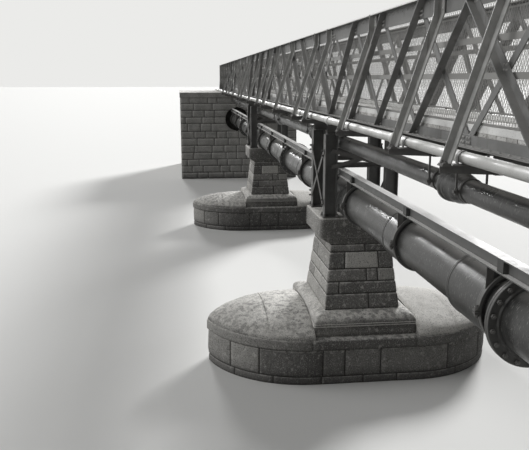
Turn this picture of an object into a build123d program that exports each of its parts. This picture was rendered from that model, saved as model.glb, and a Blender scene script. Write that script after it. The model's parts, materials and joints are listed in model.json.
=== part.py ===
from build123d import *
from math import acos, cos, hypot, sin, sqrt
import os

os.makedirs("parts", exist_ok=True)

# Riveted steel footbridge on two river piers, with three pipes carried along it.
# +X runs along the bridge, +Y to its left, +Z up. The floor is the waterline course of the piers.

# Layout along the bridge, counted in lattice panels
panel = 1220
span_panels = 9
end_span_panels = 8.5
near_landing_panels = 1
far_landing_panels = 5
landing_margin = 100

# Levels above the waterline course
truss_seat_z = 3975
pier_cap_top_z = 2430
shaft_foot_z = 1041
base_top_z = 706
abutment_top_z = 3897

# Lattice trusses
truss_spacing = 940
truss_depth = 1225
chord_plate = 12
top_chord_depth = 170
top_chord_width = 150
bottom_chord_depth = 90
bottom_chord_width = 90
chord_leg = 12
strut_width = 75
strut_thickness = 10
tie_width = 64
tie_thickness = 10
end_post_width = 62
end_post_thickness = 12

# Rails on the walkway side
rail_height = 48
rail_thickness = 10
upper_rail_z = 4778
mid_rail_z = 4513

# Walkway
girder_depth = 145
girder_width = 100
girder_flange = 10
girder_web = 8
girder_end_margin = 60
stringer_height = 65
stringer_width = 75
stringer_count = 4
deck_thickness = 50
deck_side_gap = 30
kerb_height = 54
kerb_width = 60

# Raking outriggers that stay the top chord
outrigger_reach = 448
outrigger_arm_z = 3908
outrigger_tip_depth = 60
outrigger_width = 90
outrigger_leg = 60
outrigger_thickness = 10
outrigger_offsets = (0.5, 2.2)
plain_girder_offsets = (1.35, 3.15)

# Steel trestles on the piers
column_spacing_x = 960
column_depth = 190
column_width = 152
column_flange = 14
column_web = 10
base_plate_size = 240
base_plate_thickness = 20
crosshead_depth = 145
crosshead_width = 130
tie_beam_z = 3187
tie_beam_depth = 76
tie_beam_width = 76
cross_brace_top_z = 3445
cross_brace_foot_z = 3200
side_brace_top_z = 3440
side_brace_foot_z = 2620
brace_width = 60
brace_thickness = 10

# Pipes
main_diameter = 540
main_wall = 14
main_y = 100
main_z = 2705
socket_diameter = 600
socket_length = 480
socket_offsets = (-2898, 1978, 4370)
long_socket_length = 731
long_socket_offset = -287
saddle_width = 320
saddle_length = 200
saddle_height = 60
feed_diameter = 200
feed_wall = 10
feed_y = 246
feed_z = 3550
coupling_neck_diameter = 230
coupling_diameter = 320
coupling_neck_length = 150
coupling_length = 403
coupling_offsets = (-4169, 403)
hanger_rod = 16
hanger_band = 8
hanger_width = 40
hanger_lug = 54
hanger_lug_depth = 24
hanger_far_gap = 238
service_diameter = 86
service_wall = 5
service_y = 728

# Beam beside the main, with the brackets that hold the main's sockets
beam_depth = 120
beam_width = 106
beam_flange = 10
beam_web = 8
beam_y = 318
beam_top_z = 3187
seat_thickness = 12
seat_drop = 110
strap_width = 60
strap_thickness = 10

# Stone piers
cap_width = 1270
cap_length = 1240
cap_face = 300
cap_bevel = 110
shaft_top_width = 920
shaft_top_length = 1170
shaft_foot_width = 1147
shaft_foot_length = 1540
plinth_width = 1568
plinth_length = 2070
plinth_face = 200
base_length = 4680
base_width = 2330
base_coping_height = 168
base_coping_overhang = 25
base_dome_rise = 268
base_dome_steps = (0, 0.08, 0.32, 0.68, 1)

# Abutments
abutment_width = 5286
abutment_coping_height = 220
abutment_coping_overhang = 30
main_recess_diameter = 1030
main_recess_depth = 320
feed_sleeve_clearance = 5
beam_pocket_clearance = 10

# Bearing plates on the abutments
bearing_length = 300
bearing_width = 180

# Places worked out from the sizes above
middle_x = -(far_landing_panels - near_landing_panels) * panel / 2
pier_a_x = middle_x - span_panels * panel / 2
pier_b_x = middle_x + span_panels * panel / 2
near_face_x = pier_a_x - end_span_panels * panel
far_face_x = pier_b_x + end_span_panels * panel
near_end_x = near_face_x - near_landing_panels * panel
far_end_x = far_face_x + far_landing_panels * panel
walk_start_x = near_end_x - end_post_thickness
walk_end_x = far_end_x + end_post_thickness
truss_y = truss_spacing / 2
truss_top_z = truss_seat_z + truss_depth
girder_z = truss_seat_z - girder_depth
deck_z = truss_seat_z + stringer_height
column_top_z = girder_z - crosshead_depth
span_middles = (middle_x - span_panels * panel, middle_x, middle_x + span_panels * panel)
column_xs = [pier_x + dx for pier_x in (pier_a_x, pier_b_x) for dx in (-column_spacing_x / 2, column_spacing_x / 2)]
strut_leg = (top_chord_width - chord_plate) / 2
beam_seat_z = beam_top_z - beam_depth
socket_xs = [centre_x + offset for centre_x in span_middles for offset in socket_offsets]
long_socket_xs = [centre_x + long_socket_offset for centre_x in span_middles]
coupling_xs = [centre_x + offset for centre_x in span_middles for offset in coupling_offsets]


def save(builder, name):
    builder.part.label = name
    export_step(builder.part, f"parts/{name}.step")


def side_plane(y):
    """Upright plane along the bridge at y, its normal facing the right side."""
    return Plane(origin=(0, y, 0), x_dir=(1, 0, 0), z_dir=(0, -1, 0))


def cross_plane(x):
    """Upright plane across the bridge at x, its normal facing along +X."""
    return Plane(origin=(x, 0, 0), x_dir=(0, 1, 0), z_dir=(1, 0, 0))


def i_section(depth, width, flange, web):
    """An I outline centred on the sketch origin, drawn into the open sketch."""
    Rectangle(width, depth)
    with Locations((-(width + web) / 4, 0), ((width + web) / 4, 0)):
        Rectangle((width - web) / 2, depth - 2 * flange, mode=Mode.SUBTRACT)


# Lattice trusses, one node a span and side, mirrored from the left side
def lattice_truss(start_x, panels, struts_turn):
    """Left truss from start_x. Struts rise towards the panel struts_turn, ties cross them."""
    run = panels * panel
    low = truss_seat_z + bottom_chord_depth / 2
    high = truss_top_z - top_chord_depth / 2
    bar = hypot(panel, high - low)
    slope = Vector(panel, high - low).get_angle(Vector(1, 0))
    outer = truss_y + chord_plate / 2
    inner = truss_y - chord_plate / 2
    centres = [(start_x + (i + 0.5) * panel, (low + high) / 2) for i in range(panels)]
    leans = [slope if i < struts_turn else -slope for i in range(panels)]
    bars = list(zip(centres, leans))
    with BuildPart() as truss:
        with BuildSketch(side_plane(outer)):
            for centre, lean in bars:
                with Locations(Location((*centre, 0), (0, 0, lean))):
                    Rectangle(bar + 2 * top_chord_depth, strut_width)
        extrude(amount=-strut_thickness)
        with BuildSketch(side_plane(outer)):
            for centre, lean in bars:
                with Locations(Location((*centre, 0), (0, 0, lean))):
                    with Locations((0, -(strut_width - strut_thickness) / 2)):
                        Rectangle(bar + 2 * top_chord_depth, strut_thickness)
        extrude(amount=-strut_leg)
        with BuildSketch(cross_plane(start_x)):
            with Locations((truss_y, truss_seat_z)):
                Rectangle(4 * strut_leg, truss_depth - chord_leg, align=(Align.CENTER, Align.MIN))
        extrude(amount=run, mode=Mode.INTERSECT)
        with BuildSketch(cross_plane(start_x)):
            with Locations((truss_y, truss_top_z)):
                Rectangle(chord_plate, top_chord_depth, align=(Align.CENTER, Align.MAX))
                Rectangle(top_chord_width, chord_leg, align=(Align.CENTER, Align.MAX))
            with Locations((truss_y, truss_seat_z)):
                Rectangle(chord_plate, bottom_chord_depth, align=(Align.CENTER, Align.MIN))
            with Locations((inner, truss_seat_z)):
                Rectangle(bottom_chord_width, chord_leg, align=(Align.MIN, Align.MIN))
        extrude(amount=run)
        with BuildSketch(side_plane(inner)):
            for centre, lean in bars:
                with Locations(Location((*centre, 0), (0, 0, -lean))):
                    Rectangle(bar, tie_width)
        extrude(amount=tie_thickness)
        with BuildSketch(side_plane(outer)):
            with Locations(*centres):
                Rectangle(strut_width, strut_width)
        extrude(amount=chord_plate)
        with BuildSketch(cross_plane(start_x)):
            with Locations((truss_y, truss_seat_z)):
                Rectangle(4 * strut_leg, 2 * truss_depth)
        extrude(amount=run, mode=Mode.INTERSECT)
    return truss


def mirrored(builder):
    """The same sub-part on the right side of the bridge."""
    with BuildPart() as other:
        add(mirror(builder.part, about=Plane.XZ))
    return other


truss_runs = {
    "near_span": (near_end_x, near_landing_panels + 8, near_landing_panels + 4),
    "centre_span": (middle_x - 5 * panel, 10, 5),
    "far_span": (middle_x + 5 * panel, 8 + far_landing_panels, 4),
}
for run_name, (start_x, panels, turn) in truss_runs.items():
    left_truss = lattice_truss(start_x, panels, turn)
    save(left_truss, f"left_truss_{run_name}")
    save(mirrored(left_truss), f"right_truss_{run_name}")

# Plates that close the ends of the trusses, outside the rails
rail_outer_y = truss_y - chord_plate / 2 - tie_thickness
with BuildPart() as end_posts:
    post_y = rail_outer_y + end_post_width / 2
    for start_x in (walk_start_x, far_end_x):
        with BuildSketch(cross_plane(start_x)):
            with Locations((-post_y, truss_seat_z), (post_y, truss_seat_z)):
                Rectangle(end_post_width, truss_depth, align=(Align.CENTER, Align.MIN))
        extrude(amount=end_post_thickness)
save(end_posts, "end_posts")

# Flat rails riveted to the ties on the walkway side
with BuildPart() as left_rails:
    for z in (upper_rail_z, mid_rail_z):
        with BuildSketch(cross_plane(walk_start_x)):
            with Locations((rail_outer_y, z)):
                Rectangle(rail_thickness, rail_height, align=(Align.MAX, Align.CENTER))
        extrude(amount=walk_end_x - walk_start_x)
save(left_rails, "left_rails")
save(mirrored(left_rails), "right_rails")

# Cross girders, with longer ones where an outrigger stands
outrigger_xs = list(column_xs)
plain_girder_xs = []
for centre_x in span_middles:
    for side in (-1, 1):
        outrigger_xs += [centre_x + side * offset * panel for offset in outrigger_offsets]
        plain_girder_xs += [centre_x + side * offset * panel for offset in plain_girder_offsets]

outer_half = truss_y + outrigger_reach
inner_half = truss_y + girder_end_margin
with BuildPart() as cross_girders:
    for x in outrigger_xs:
        with BuildSketch(cross_plane(x - girder_web / 2)):
            with BuildLine():
                Polyline(
                    (-inner_half, truss_seat_z),
                    (inner_half, truss_seat_z),
                    (inner_half, outrigger_arm_z),
                    (outer_half, outrigger_arm_z),
                    (outer_half, outrigger_arm_z - outrigger_tip_depth),
                    (inner_half, girder_z),
                    (-inner_half, girder_z),
                    (-outer_half, outrigger_arm_z - outrigger_tip_depth),
                    (-outer_half, outrigger_arm_z),
                    (-inner_half, outrigger_arm_z),
                    close=True,
                )
            make_face()
        extrude(amount=girder_web)
        with BuildSketch(Plane.XY.offset(truss_seat_z)):
            with Locations((x, 0)):
                Rectangle(girder_width, 2 * inner_half)
        extrude(amount=-girder_flange)
        with BuildSketch(Plane.XY.offset(outrigger_arm_z)):
            with Locations((x, -(outer_half + inner_half) / 2), (x, (outer_half + inner_half) / 2)):
                Rectangle(girder_width, outrigger_reach - girder_end_margin)
        extrude(amount=-girder_flange)
        with BuildSketch(Plane.XY.offset(girder_z)):
            with Locations((x, 0)):
                Rectangle(girder_width, 2 * inner_half)
        extrude(amount=girder_flange)
    for x in plain_girder_xs:
        with BuildSketch(side_plane(inner_half)):
            with Locations((x, truss_seat_z - girder_depth / 2)):
                i_section(girder_depth, girder_width, girder_flange, girder_web)
        extrude(amount=2 * inner_half)
save(cross_girders, "cross_girders")

# Raking outriggers from the girder tips, a tee with its stem inwards, its flange cranked up the top chord
rake_foot = Vector(outer_half - outrigger_thickness, outrigger_arm_z)
rake_knee = Vector(truss_y + top_chord_width / 2, truss_top_z - top_chord_depth)
with BuildPart() as left_outriggers:
    for x in outrigger_xs:
        with BuildSketch(cross_plane(x - outrigger_width / 2)):
            with BuildLine():
                Polyline(
                    (rake_foot.X, rake_foot.Y),
                    (rake_foot.X - outrigger_thickness, rake_foot.Y),
                    (rake_knee.X, rake_knee.Y),
                    (rake_knee.X, truss_top_z),
                    (rake_knee.X + outrigger_thickness, truss_top_z),
                    (rake_knee.X + outrigger_thickness, rake_knee.Y),
                    close=True,
                )
            make_face()
        extrude(amount=outrigger_width)
        with BuildSketch(cross_plane(x - outrigger_thickness / 2)):
            with BuildLine():
                Polyline(
                    (rake_foot.X - outrigger_thickness, rake_foot.Y),
                    (rake_foot.X - outrigger_thickness - outrigger_leg, rake_foot.Y),
                    (rake_knee.X, rake_knee.Y - outrigger_leg),
                    (rake_knee.X, rake_knee.Y),
                    close=True,
                )
            make_face()
        extrude(amount=outrigger_thickness)
save(left_outriggers, "left_outriggers")
save(mirrored(left_outriggers), "right_outriggers")

# Walkway on its stringers
walk_width = truss_spacing - 2 * deck_side_gap
with BuildPart() as stringers:
    stringer_pitch = (walk_width - stringer_width) / (stringer_count - 1)
    with BuildSketch(cross_plane(walk_start_x)):
        with Locations((0, truss_seat_z + stringer_height / 2)):
            with GridLocations(stringer_pitch, 0, stringer_count, 1):
                Rectangle(stringer_width, stringer_height)
    extrude(amount=walk_end_x - walk_start_x)
save(stringers, "stringers")

with BuildPart() as deck:
    with BuildSketch(cross_plane(walk_start_x)):
        with Locations((0, deck_z)):
            Rectangle(walk_width, deck_thickness, align=(Align.CENTER, Align.MIN))
    extrude(amount=walk_end_x - walk_start_x)
save(deck, "deck")

with BuildPart() as kerbs:
    with BuildSketch(cross_plane(walk_start_x)):
        with Locations((0, deck_z + deck_thickness + kerb_height / 2)):
            with GridLocations(walk_width - kerb_width, 0, 2, 1):
                Rectangle(kerb_width, kerb_height)
    extrude(amount=walk_end_x - walk_start_x)
save(kerbs, "kerbs")


# Steel trestles: four columns a pier on base plates, with crossheads and flat bracing
def columns(pier_x):
    with BuildPart() as legs:
        with BuildSketch(Plane.XY.offset(pier_cap_top_z)):
            with Locations((pier_x, 0)):
                with GridLocations(column_spacing_x, truss_spacing, 2, 2):
                    Rectangle(base_plate_size, base_plate_size)
        extrude(amount=base_plate_thickness)
        with BuildSketch(Plane.XY.offset(pier_cap_top_z)):
            with Locations((pier_x, 0)):
                with GridLocations(column_spacing_x, truss_spacing, 2, 2):
                    Rectangle(column_width, column_depth)
                    with GridLocations((column_width + column_web) / 2, 0, 2, 1):
                        Rectangle(
                            (column_width - column_web) / 2,
                            column_depth - 2 * column_flange,
                            mode=Mode.SUBTRACT,
                        )
        extrude(amount=column_top_z - pier_cap_top_z)
    return legs


def crossbeams(pier_x):
    """Crossheads on the columns, and light joists lower down between the left and right columns."""
    half_gap = truss_y - column_depth / 2
    with BuildPart() as beams:
        with BuildSketch(side_plane(inner_half)):
            with Locations((pier_x, girder_z - crosshead_depth / 2)):
                with GridLocations(column_spacing_x, 0, 2, 1):
                    i_section(crosshead_depth, crosshead_width, girder_flange, girder_web)
        extrude(amount=2 * inner_half)
        with BuildSketch(side_plane(half_gap)):
            with Locations((pier_x, tie_beam_z + tie_beam_depth / 2)):
                with GridLocations(column_spacing_x, 0, 2, 1):
                    i_section(tie_beam_depth, tie_beam_width, girder_flange, girder_web)
        extrude(amount=2 * half_gap)
    return beams


def trestle_braces(pier_x):
    """Crossed flats across the bridge on the columns' edges, and along it on their outer flanges."""
    with BuildPart() as braces:
        rise = cross_brace_top_z - cross_brace_foot_z
        bar = hypot(truss_spacing, rise)
        slope = Vector(truss_spacing, rise).get_angle(Vector(1, 0))
        mid_z = (cross_brace_top_z + cross_brace_foot_z) / 2
        for side in (-1, 1):
            face_x = pier_x + side * (column_spacing_x + column_width) / 2
            for layer, lean in enumerate((-1, 1)):
                with BuildSketch(cross_plane(face_x + side * layer * brace_thickness)):
                    with Locations(Location((0, mid_z, 0), (0, 0, lean * slope))):
                        Rectangle(bar, brace_width)
                extrude(amount=side * brace_thickness)
        rise = side_brace_top_z - side_brace_foot_z
        bar = hypot(column_spacing_x, rise)
        slope = Vector(column_spacing_x, rise).get_angle(Vector(1, 0))
        mid_z = (side_brace_top_z + side_brace_foot_z) / 2
        for side in (-1, 1):
            face_y = side * (truss_y + column_depth / 2)
            for layer, lean in enumerate((-1, 1)):
                with BuildSketch(side_plane(face_y + side * layer * brace_thickness)):
                    with Locations(Location((pier_x, mid_z, 0), (0, 0, lean * slope))):
                        Rectangle(bar, brace_width)
                extrude(amount=-side * brace_thickness)
    return braces


# Stone piers, from the cutwater base up to the bevelled cap
end_start_y = plinth_width / 2
end_reach = base_length / 2 - end_start_y
end_radius = ((base_width / 2) ** 2 + end_reach**2) / base_width
end_centre_x = end_radius - base_width / 2


def base_outline(pier_x, z, inset):
    """Straight beside the plinth, with two arcs that meet in a blunt point at each end."""
    radius = end_radius - inset
    turn = acos(end_centre_x / radius)
    side_x = base_width / 2 - inset
    with BuildSketch(Plane((pier_x, 0, z))) as outline:
        with BuildLine():
            for side in (-1, 1):
                Line((side * side_x, -end_start_y), (side * side_x, end_start_y))
                for end in (-1, 1):
                    ThreePointArc(
                        (side * side_x, end * end_start_y),
                        (
                            side * (radius * cos(turn / 2) - end_centre_x),
                            end * (end_start_y + radius * sin(turn / 2)),
                        ),
                        (0, end * (end_start_y + radius * sin(turn))),
                    )
        make_face()
    return outline.sketch


def pier_footing(pier_x):
    with BuildPart() as footing:
        extrude(base_outline(pier_x, 0, base_coping_overhang), amount=base_top_z - base_coping_height)
    return footing


def pier_base_coping(pier_x):
    """Coping with a dome over each cutwater, the dome being what two turned shapes share."""
    steps = [step * base_width / 2 for step in base_dome_steps]
    rises = [base_dome_rise * sqrt(1 - (1 - 2 * step / base_width) ** 2) for step in steps]
    profile = [(0, 0)] + [(end_radius - step, rise) for step, rise in zip(steps, rises)] + [(0, rises[-1])]
    with BuildPart() as coping:
        for side, join in ((1, Mode.ADD), (-1, Mode.INTERSECT)):
            foot = (pier_x - side * end_centre_x, end_start_y, base_top_z)
            with BuildSketch(Plane(origin=foot, x_dir=(side, 0, 0), z_dir=(0, -side, 0))):
                with BuildLine():
                    Polyline(*profile, close=True)
                make_face()
            revolve(axis=Axis(foot, (0, 0, side)), revolution_arc=180, mode=join)
        mirror(about=Plane.XZ)
        extrude(base_outline(pier_x, base_top_z, 0), amount=-base_coping_height)
    return coping


def straight_block(pier_x, *levels):
    """Block with flat faces between levels, each level given as (length, width, height)."""
    lengths = [(length / 2, z) for length, width, z in levels]
    widths = [(width / 2, z) for length, width, z in levels]
    with BuildPart() as block:
        with BuildSketch(side_plane(base_width)):
            with BuildLine():
                left = [(pier_x - half, z) for half, z in reversed(lengths)]
                right = [(pier_x + half, z) for half, z in lengths]
                Polyline(*left, *right, close=True)
            make_face()
        extrude(amount=2 * base_width)
        with BuildSketch(cross_plane(pier_x - base_width)):
            with BuildLine():
                left = [(-half, z) for half, z in reversed(widths)]
                right = [(half, z) for half, z in widths]
                Polyline(*left, *right, close=True)
            make_face()
        extrude(amount=2 * base_width, mode=Mode.INTERSECT)
    return block


def rounded_profile(plane, centre, half_width, half_top):
    """Upright sides up to the plinth's face, then a round shoulder in to half_top."""
    face_z = base_top_z + plinth_face
    corner = sqrt(0.5)
    middle = (half_top + (half_width - half_top) * corner, face_z + (shaft_foot_z - face_z) * corner)
    with BuildSketch(plane) as outline:
        with BuildLine():
            Line((centre - half_top, shaft_foot_z), (centre + half_top, shaft_foot_z))
            Line((centre - half_width, base_top_z), (centre + half_width, base_top_z))
            for side in (-1, 1):
                Line((centre + side * half_width, base_top_z), (centre + side * half_width, face_z))
                ThreePointArc(
                    (centre + side * half_width, face_z),
                    (centre + side * middle[0], middle[1]),
                    (centre + side * half_top, shaft_foot_z),
                )
        make_face()
    return outline.sketch


def pier_plinth(pier_x):
    """Square plinth with a round shoulder up to the foot of the shaft."""
    seen_across = rounded_profile(side_plane(base_width), pier_x, plinth_length / 2, shaft_foot_length / 2)
    seen_along = rounded_profile(cross_plane(pier_x - base_width), 0, plinth_width / 2, shaft_foot_width / 2)
    with BuildPart() as plinth:
        extrude(seen_across, amount=2 * base_width)
        extrude(seen_along, amount=2 * base_width, mode=Mode.INTERSECT)
    return plinth


def pier_shaft(pier_x):
    return straight_block(
        pier_x,
        (shaft_foot_length, shaft_foot_width, shaft_foot_z),
        (shaft_top_length, shaft_top_width, pier_cap_top_z - cap_face - cap_bevel),
    )


def pier_cap(pier_x):
    return straight_block(
        pier_x,
        (shaft_top_length, shaft_top_width, pier_cap_top_z - cap_face - cap_bevel),
        (cap_length, cap_width, pier_cap_top_z - cap_face),
        (cap_length, cap_width, pier_cap_top_z),
    )


for pier_name, pier_x in (("near_pier", pier_a_x), ("far_pier", pier_b_x)):
    save(pier_footing(pier_x), f"{pier_name}_footing")
    save(pier_base_coping(pier_x), f"{pier_name}_base_coping")
    save(pier_plinth(pier_x), f"{pier_name}_plinth")
    save(pier_shaft(pier_x), f"{pier_name}_shaft")
    save(pier_cap(pier_x), f"{pier_name}_cap")
    save(columns(pier_x), f"{pier_name}_columns")
    save(crossbeams(pier_x), f"{pier_name}_crossbeams")
    save(trestle_braces(pier_x), f"{pier_name}_braces")


# Abutments, with a round recess where the main goes in
def abutment(face_x, depth, outward):
    """Wall from its river face, outward along +X (1) or -X (-1)."""
    with BuildPart() as wall:
        with BuildSketch(cross_plane(face_x)):
            Rectangle(
                abutment_width,
                abutment_top_z - abutment_coping_height,
                align=(Align.CENTER, Align.MIN),
            )
        extrude(amount=outward * depth)
        with BuildSketch(cross_plane(face_x)):
            with Locations((main_y, main_z)):
                Circle(main_recess_diameter / 2)
            with Locations((feed_y, feed_z)):
                Circle(feed_diameter / 2 + feed_sleeve_clearance)
            with Locations((beam_y, beam_top_z - beam_depth / 2)):
                Rectangle(beam_width + 2 * beam_pocket_clearance, beam_depth + 2 * beam_pocket_clearance)
        extrude(amount=outward * main_recess_depth, mode=Mode.SUBTRACT)
    return wall


def abutment_coping(face_x, depth, outward):
    front_x = face_x - outward * abutment_coping_overhang
    with BuildPart() as coping:
        with BuildSketch(cross_plane(front_x)):
            with Locations((0, abutment_top_z)):
                Rectangle(
                    abutment_width + 2 * abutment_coping_overhang,
                    abutment_coping_height,
                    align=(Align.CENTER, Align.MAX),
                )
        extrude(amount=outward * (depth + abutment_coping_overhang))
    return coping


near_depth = near_landing_panels * panel + landing_margin
far_depth = far_landing_panels * panel + landing_margin
save(abutment(near_face_x, near_depth, -1), "near_abutment")
save(abutment(far_face_x, far_depth, 1), "far_abutment")
save(abutment_coping(near_face_x, near_depth, -1), "near_abutment_coping")
save(abutment_coping(far_face_x, far_depth, 1), "far_abutment_coping")

# Bearing plates between the bottom chords and the abutments
bearing_xs = [near_face_x - (i + 0.5) * panel for i in range(near_landing_panels)]
bearing_xs += [far_face_x + (i + 0.5) * panel for i in range(far_landing_panels)]
with BuildPart() as bearings:
    with BuildSketch(Plane.XY.offset(abutment_top_z)):
        for x in bearing_xs:
            with Locations((x, -truss_y), (x, truss_y)):
                Rectangle(bearing_length, bearing_width)
    extrude(amount=truss_seat_z - abutment_top_z)
save(bearings, "bearings")


# Pipes
def pipe(diameter, wall, y, z, start_x, end_x):
    with BuildPart() as tube:
        with BuildSketch(cross_plane(start_x)):
            with Locations((y, z)):
                Circle(diameter / 2)
                Circle(diameter / 2 - wall, mode=Mode.SUBTRACT)
        extrude(amount=end_x - start_x)
    return tube


into_near = near_face_x - main_recess_depth
into_far = far_face_x + main_recess_depth
save(pipe(main_diameter, main_wall, main_y, main_z, into_near, into_far), "water_main")
save(pipe(feed_diameter, feed_wall, feed_y, feed_z, into_near, into_far), "feed_pipe")
service_z = outrigger_arm_z + service_diameter / 2
save(pipe(service_diameter, service_wall, service_y, service_z, walk_start_x, walk_end_x), "service_pipe")


def turned_rings(rings, y, z):
    """Rings turned about a pipe's axis, each a start along X and a profile of (distance along, radius)."""
    with BuildPart() as turned:
        for start_x, profile in rings:
            with BuildSketch(Plane(origin=(start_x, y, z), x_dir=(1, 0, 0), z_dir=(0, -1, 0))):
                with BuildLine():
                    Polyline(*profile, close=True)
                make_face()
            revolve(axis=Axis((start_x, y, z), (1, 0, 0)))
    return turned


def socket_profile(length):
    """Profile of a plain socket on the main."""
    inner = main_diameter / 2
    outer = socket_diameter / 2
    return ((0, inner), (0, outer), (length, outer), (length, inner))


sockets = [(x, socket_profile(socket_length)) for x in socket_xs]
sockets += [(x, socket_profile(long_socket_length)) for x in long_socket_xs]
save(turned_rings(sockets, main_y, main_z), "main_sockets")

coupling_profile = (
    (0, feed_diameter / 2),
    (0, coupling_neck_diameter / 2),
    (coupling_neck_length, coupling_diameter / 2),
    (coupling_length, coupling_diameter / 2),
    (coupling_length, feed_diameter / 2),
)
save(turned_rings([(x, coupling_profile) for x in coupling_xs], feed_y, feed_z), "feed_couplings")

# Saddles that bed the main on the pier caps
with BuildPart() as main_saddles:
    for pier_x in (pier_a_x, pier_b_x):
        with BuildSketch(cross_plane(pier_x - saddle_length / 2)):
            with Locations((main_y, pier_cap_top_z)):
                Rectangle(saddle_width, saddle_height, align=(Align.CENTER, Align.MIN))
            with Locations((main_y, main_z)):
                Circle(main_diameter / 2, mode=Mode.SUBTRACT)
        extrude(amount=saddle_length)
save(main_saddles, "main_saddles")

# Runner beam along the main, on seats bolted to the left columns
with BuildPart() as main_beam:
    with BuildSketch(cross_plane(into_near)):
        with Locations((beam_y, beam_top_z - beam_depth / 2)):
            i_section(beam_depth, beam_width, beam_flange, beam_web)
    extrude(amount=into_far - into_near)
save(main_beam, "main_beam")

column_face_y = truss_y - column_depth / 2
with BuildPart() as beam_seats:
    for x in column_xs:
        with BuildSketch(Plane.XY.offset(beam_seat_z)):
            with Locations((x, column_face_y)):
                Rectangle(column_width, column_face_y - beam_y + beam_width / 2, align=(Align.CENTER, Align.MAX))
        extrude(amount=-seat_thickness)
        with BuildSketch(cross_plane(x - seat_thickness / 2)):
            with BuildLine():
                Polyline(
                    (column_face_y, beam_seat_z - seat_thickness),
                    (beam_y, beam_seat_z - seat_thickness),
                    (column_face_y, beam_seat_z - seat_drop),
                    close=True,
                )
            make_face()
        extrude(amount=seat_thickness)
save(beam_seats, "beam_seats")

# Plates from the runner beam down to the sockets of the main
with BuildPart() as main_brackets:
    for x in socket_xs + long_socket_xs:
        with BuildSketch(cross_plane(x)):
            with Locations((beam_y + beam_width / 2, beam_seat_z)):
                Rectangle(strap_width, beam_seat_z - main_z, align=(Align.MAX, Align.MAX))
            with Locations((main_y, main_z)):
                Circle(socket_diameter / 2, mode=Mode.SUBTRACT)
        extrude(amount=strap_thickness)
save(main_brackets, "main_brackets")

# Hangers beside each joint of the feed pipe: a band under it, and rods from its lugs to the stringers
band_radius = feed_diameter / 2 + hanger_band
lug_end = band_radius + hanger_lug
rod_reach = band_radius + hanger_lug / 2
hanger_xs = []
for start_x in coupling_xs:
    hanger_xs += [start_x - hanger_width / 2, start_x + coupling_length + hanger_far_gap]
with BuildPart() as feed_hangers:
    for x in hanger_xs:
        with BuildSketch(cross_plane(x - hanger_width / 2)):
            with Locations((feed_y, feed_z)):
                Circle(band_radius)
                Rectangle(2 * lug_end, band_radius, align=(Align.CENTER, Align.MIN), mode=Mode.SUBTRACT)
                Rectangle(2 * lug_end, hanger_lug_depth)
                Circle(feed_diameter / 2, mode=Mode.SUBTRACT)
        extrude(amount=hanger_width)
        with BuildSketch(cross_plane(x - hanger_rod / 2)):
            with Locations((feed_y - rod_reach, truss_seat_z), (feed_y + rod_reach, truss_seat_z)):
                Rectangle(hanger_rod, truss_seat_z - feed_z, align=(Align.CENTER, Align.MAX))
        extrude(amount=hanger_rod)
save(feed_hangers, "feed_hangers")
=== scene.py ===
import json
import math
from itertools import product
from random import Random

import bpy
import numpy as np
from mathutils import Matrix, Vector, noise


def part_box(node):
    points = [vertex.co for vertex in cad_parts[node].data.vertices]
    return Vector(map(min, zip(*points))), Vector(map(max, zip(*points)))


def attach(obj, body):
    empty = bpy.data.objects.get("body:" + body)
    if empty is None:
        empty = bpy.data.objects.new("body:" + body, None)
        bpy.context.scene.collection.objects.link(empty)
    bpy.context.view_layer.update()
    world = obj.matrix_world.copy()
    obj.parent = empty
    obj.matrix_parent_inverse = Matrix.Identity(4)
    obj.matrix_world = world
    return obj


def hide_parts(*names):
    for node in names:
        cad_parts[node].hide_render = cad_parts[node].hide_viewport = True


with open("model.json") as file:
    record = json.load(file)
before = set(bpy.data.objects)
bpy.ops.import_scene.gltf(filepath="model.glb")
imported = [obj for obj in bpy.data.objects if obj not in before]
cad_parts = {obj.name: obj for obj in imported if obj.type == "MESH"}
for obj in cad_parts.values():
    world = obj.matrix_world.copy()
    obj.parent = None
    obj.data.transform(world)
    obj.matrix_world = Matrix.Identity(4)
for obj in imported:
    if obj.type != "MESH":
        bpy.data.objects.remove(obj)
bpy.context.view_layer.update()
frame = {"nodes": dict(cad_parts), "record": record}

bl_info = {
    "name": "Lattice Footbridge",
    "version": (1, 0, 0),
    "blender": (4, 5, 0),
    "location": "View3D > Sidebar > Footbridge",
    "description": "Dresses a riveted lattice footbridge that stands on stone river piers",
    "category": "Object",
}

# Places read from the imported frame, in metres


def pipe_axis(name):
    """Y and Z of a pipe's axis, and its radius."""
    low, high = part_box(name)
    return (low.y + high.y) / 2, (low.z + high.z) / 2, (high.z - low.z) / 2


PANEL = 1.22
TRUSS_LOW, TRUSS_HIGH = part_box("left_truss_centre_span")
TRUSS_MIDDLE_X = (TRUSS_LOW.x + TRUSS_HIGH.x) / 2
SEAT_Z, TOP_Z = TRUSS_LOW.z, TRUSS_HIGH.z
PLATE_Y = 0.476  # outer face of the chords' upright legs
TOP_PLATE_Y = 0.545  # outer edge of the top chords' plates
NEAR_END_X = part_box("left_truss_near_span")[0].x
FAR_END_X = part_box("left_truss_far_span")[1].x
SPAN_MIDDLES = [TRUSS_MIDDLE_X + i * 9 * PANEL for i in (-1, 0, 1)]
PIER_XS = [TRUSS_MIDDLE_X + side * 4.5 * PANEL for side in (-1, 1)]
DECK_LOW, DECK_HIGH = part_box("deck")
KERB_TOP_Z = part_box("kerbs")[1].z
MAIN_Y, MAIN_Z, MAIN_RADIUS = pipe_axis("water_main")
FEED_Y, FEED_Z, FEED_RADIUS = pipe_axis("feed_pipe")
SERVICE_Y, SERVICE_Z, SERVICE_RADIUS = pipe_axis("service_pipe")
BEAM_LOW, BEAM_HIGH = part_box("main_beam")
GIRDER_LOW, GIRDER_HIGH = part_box("cross_girders")
ARM_TIP_Y = GIRDER_HIGH.y
ARM_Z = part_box("service_pipe")[0].z
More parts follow.
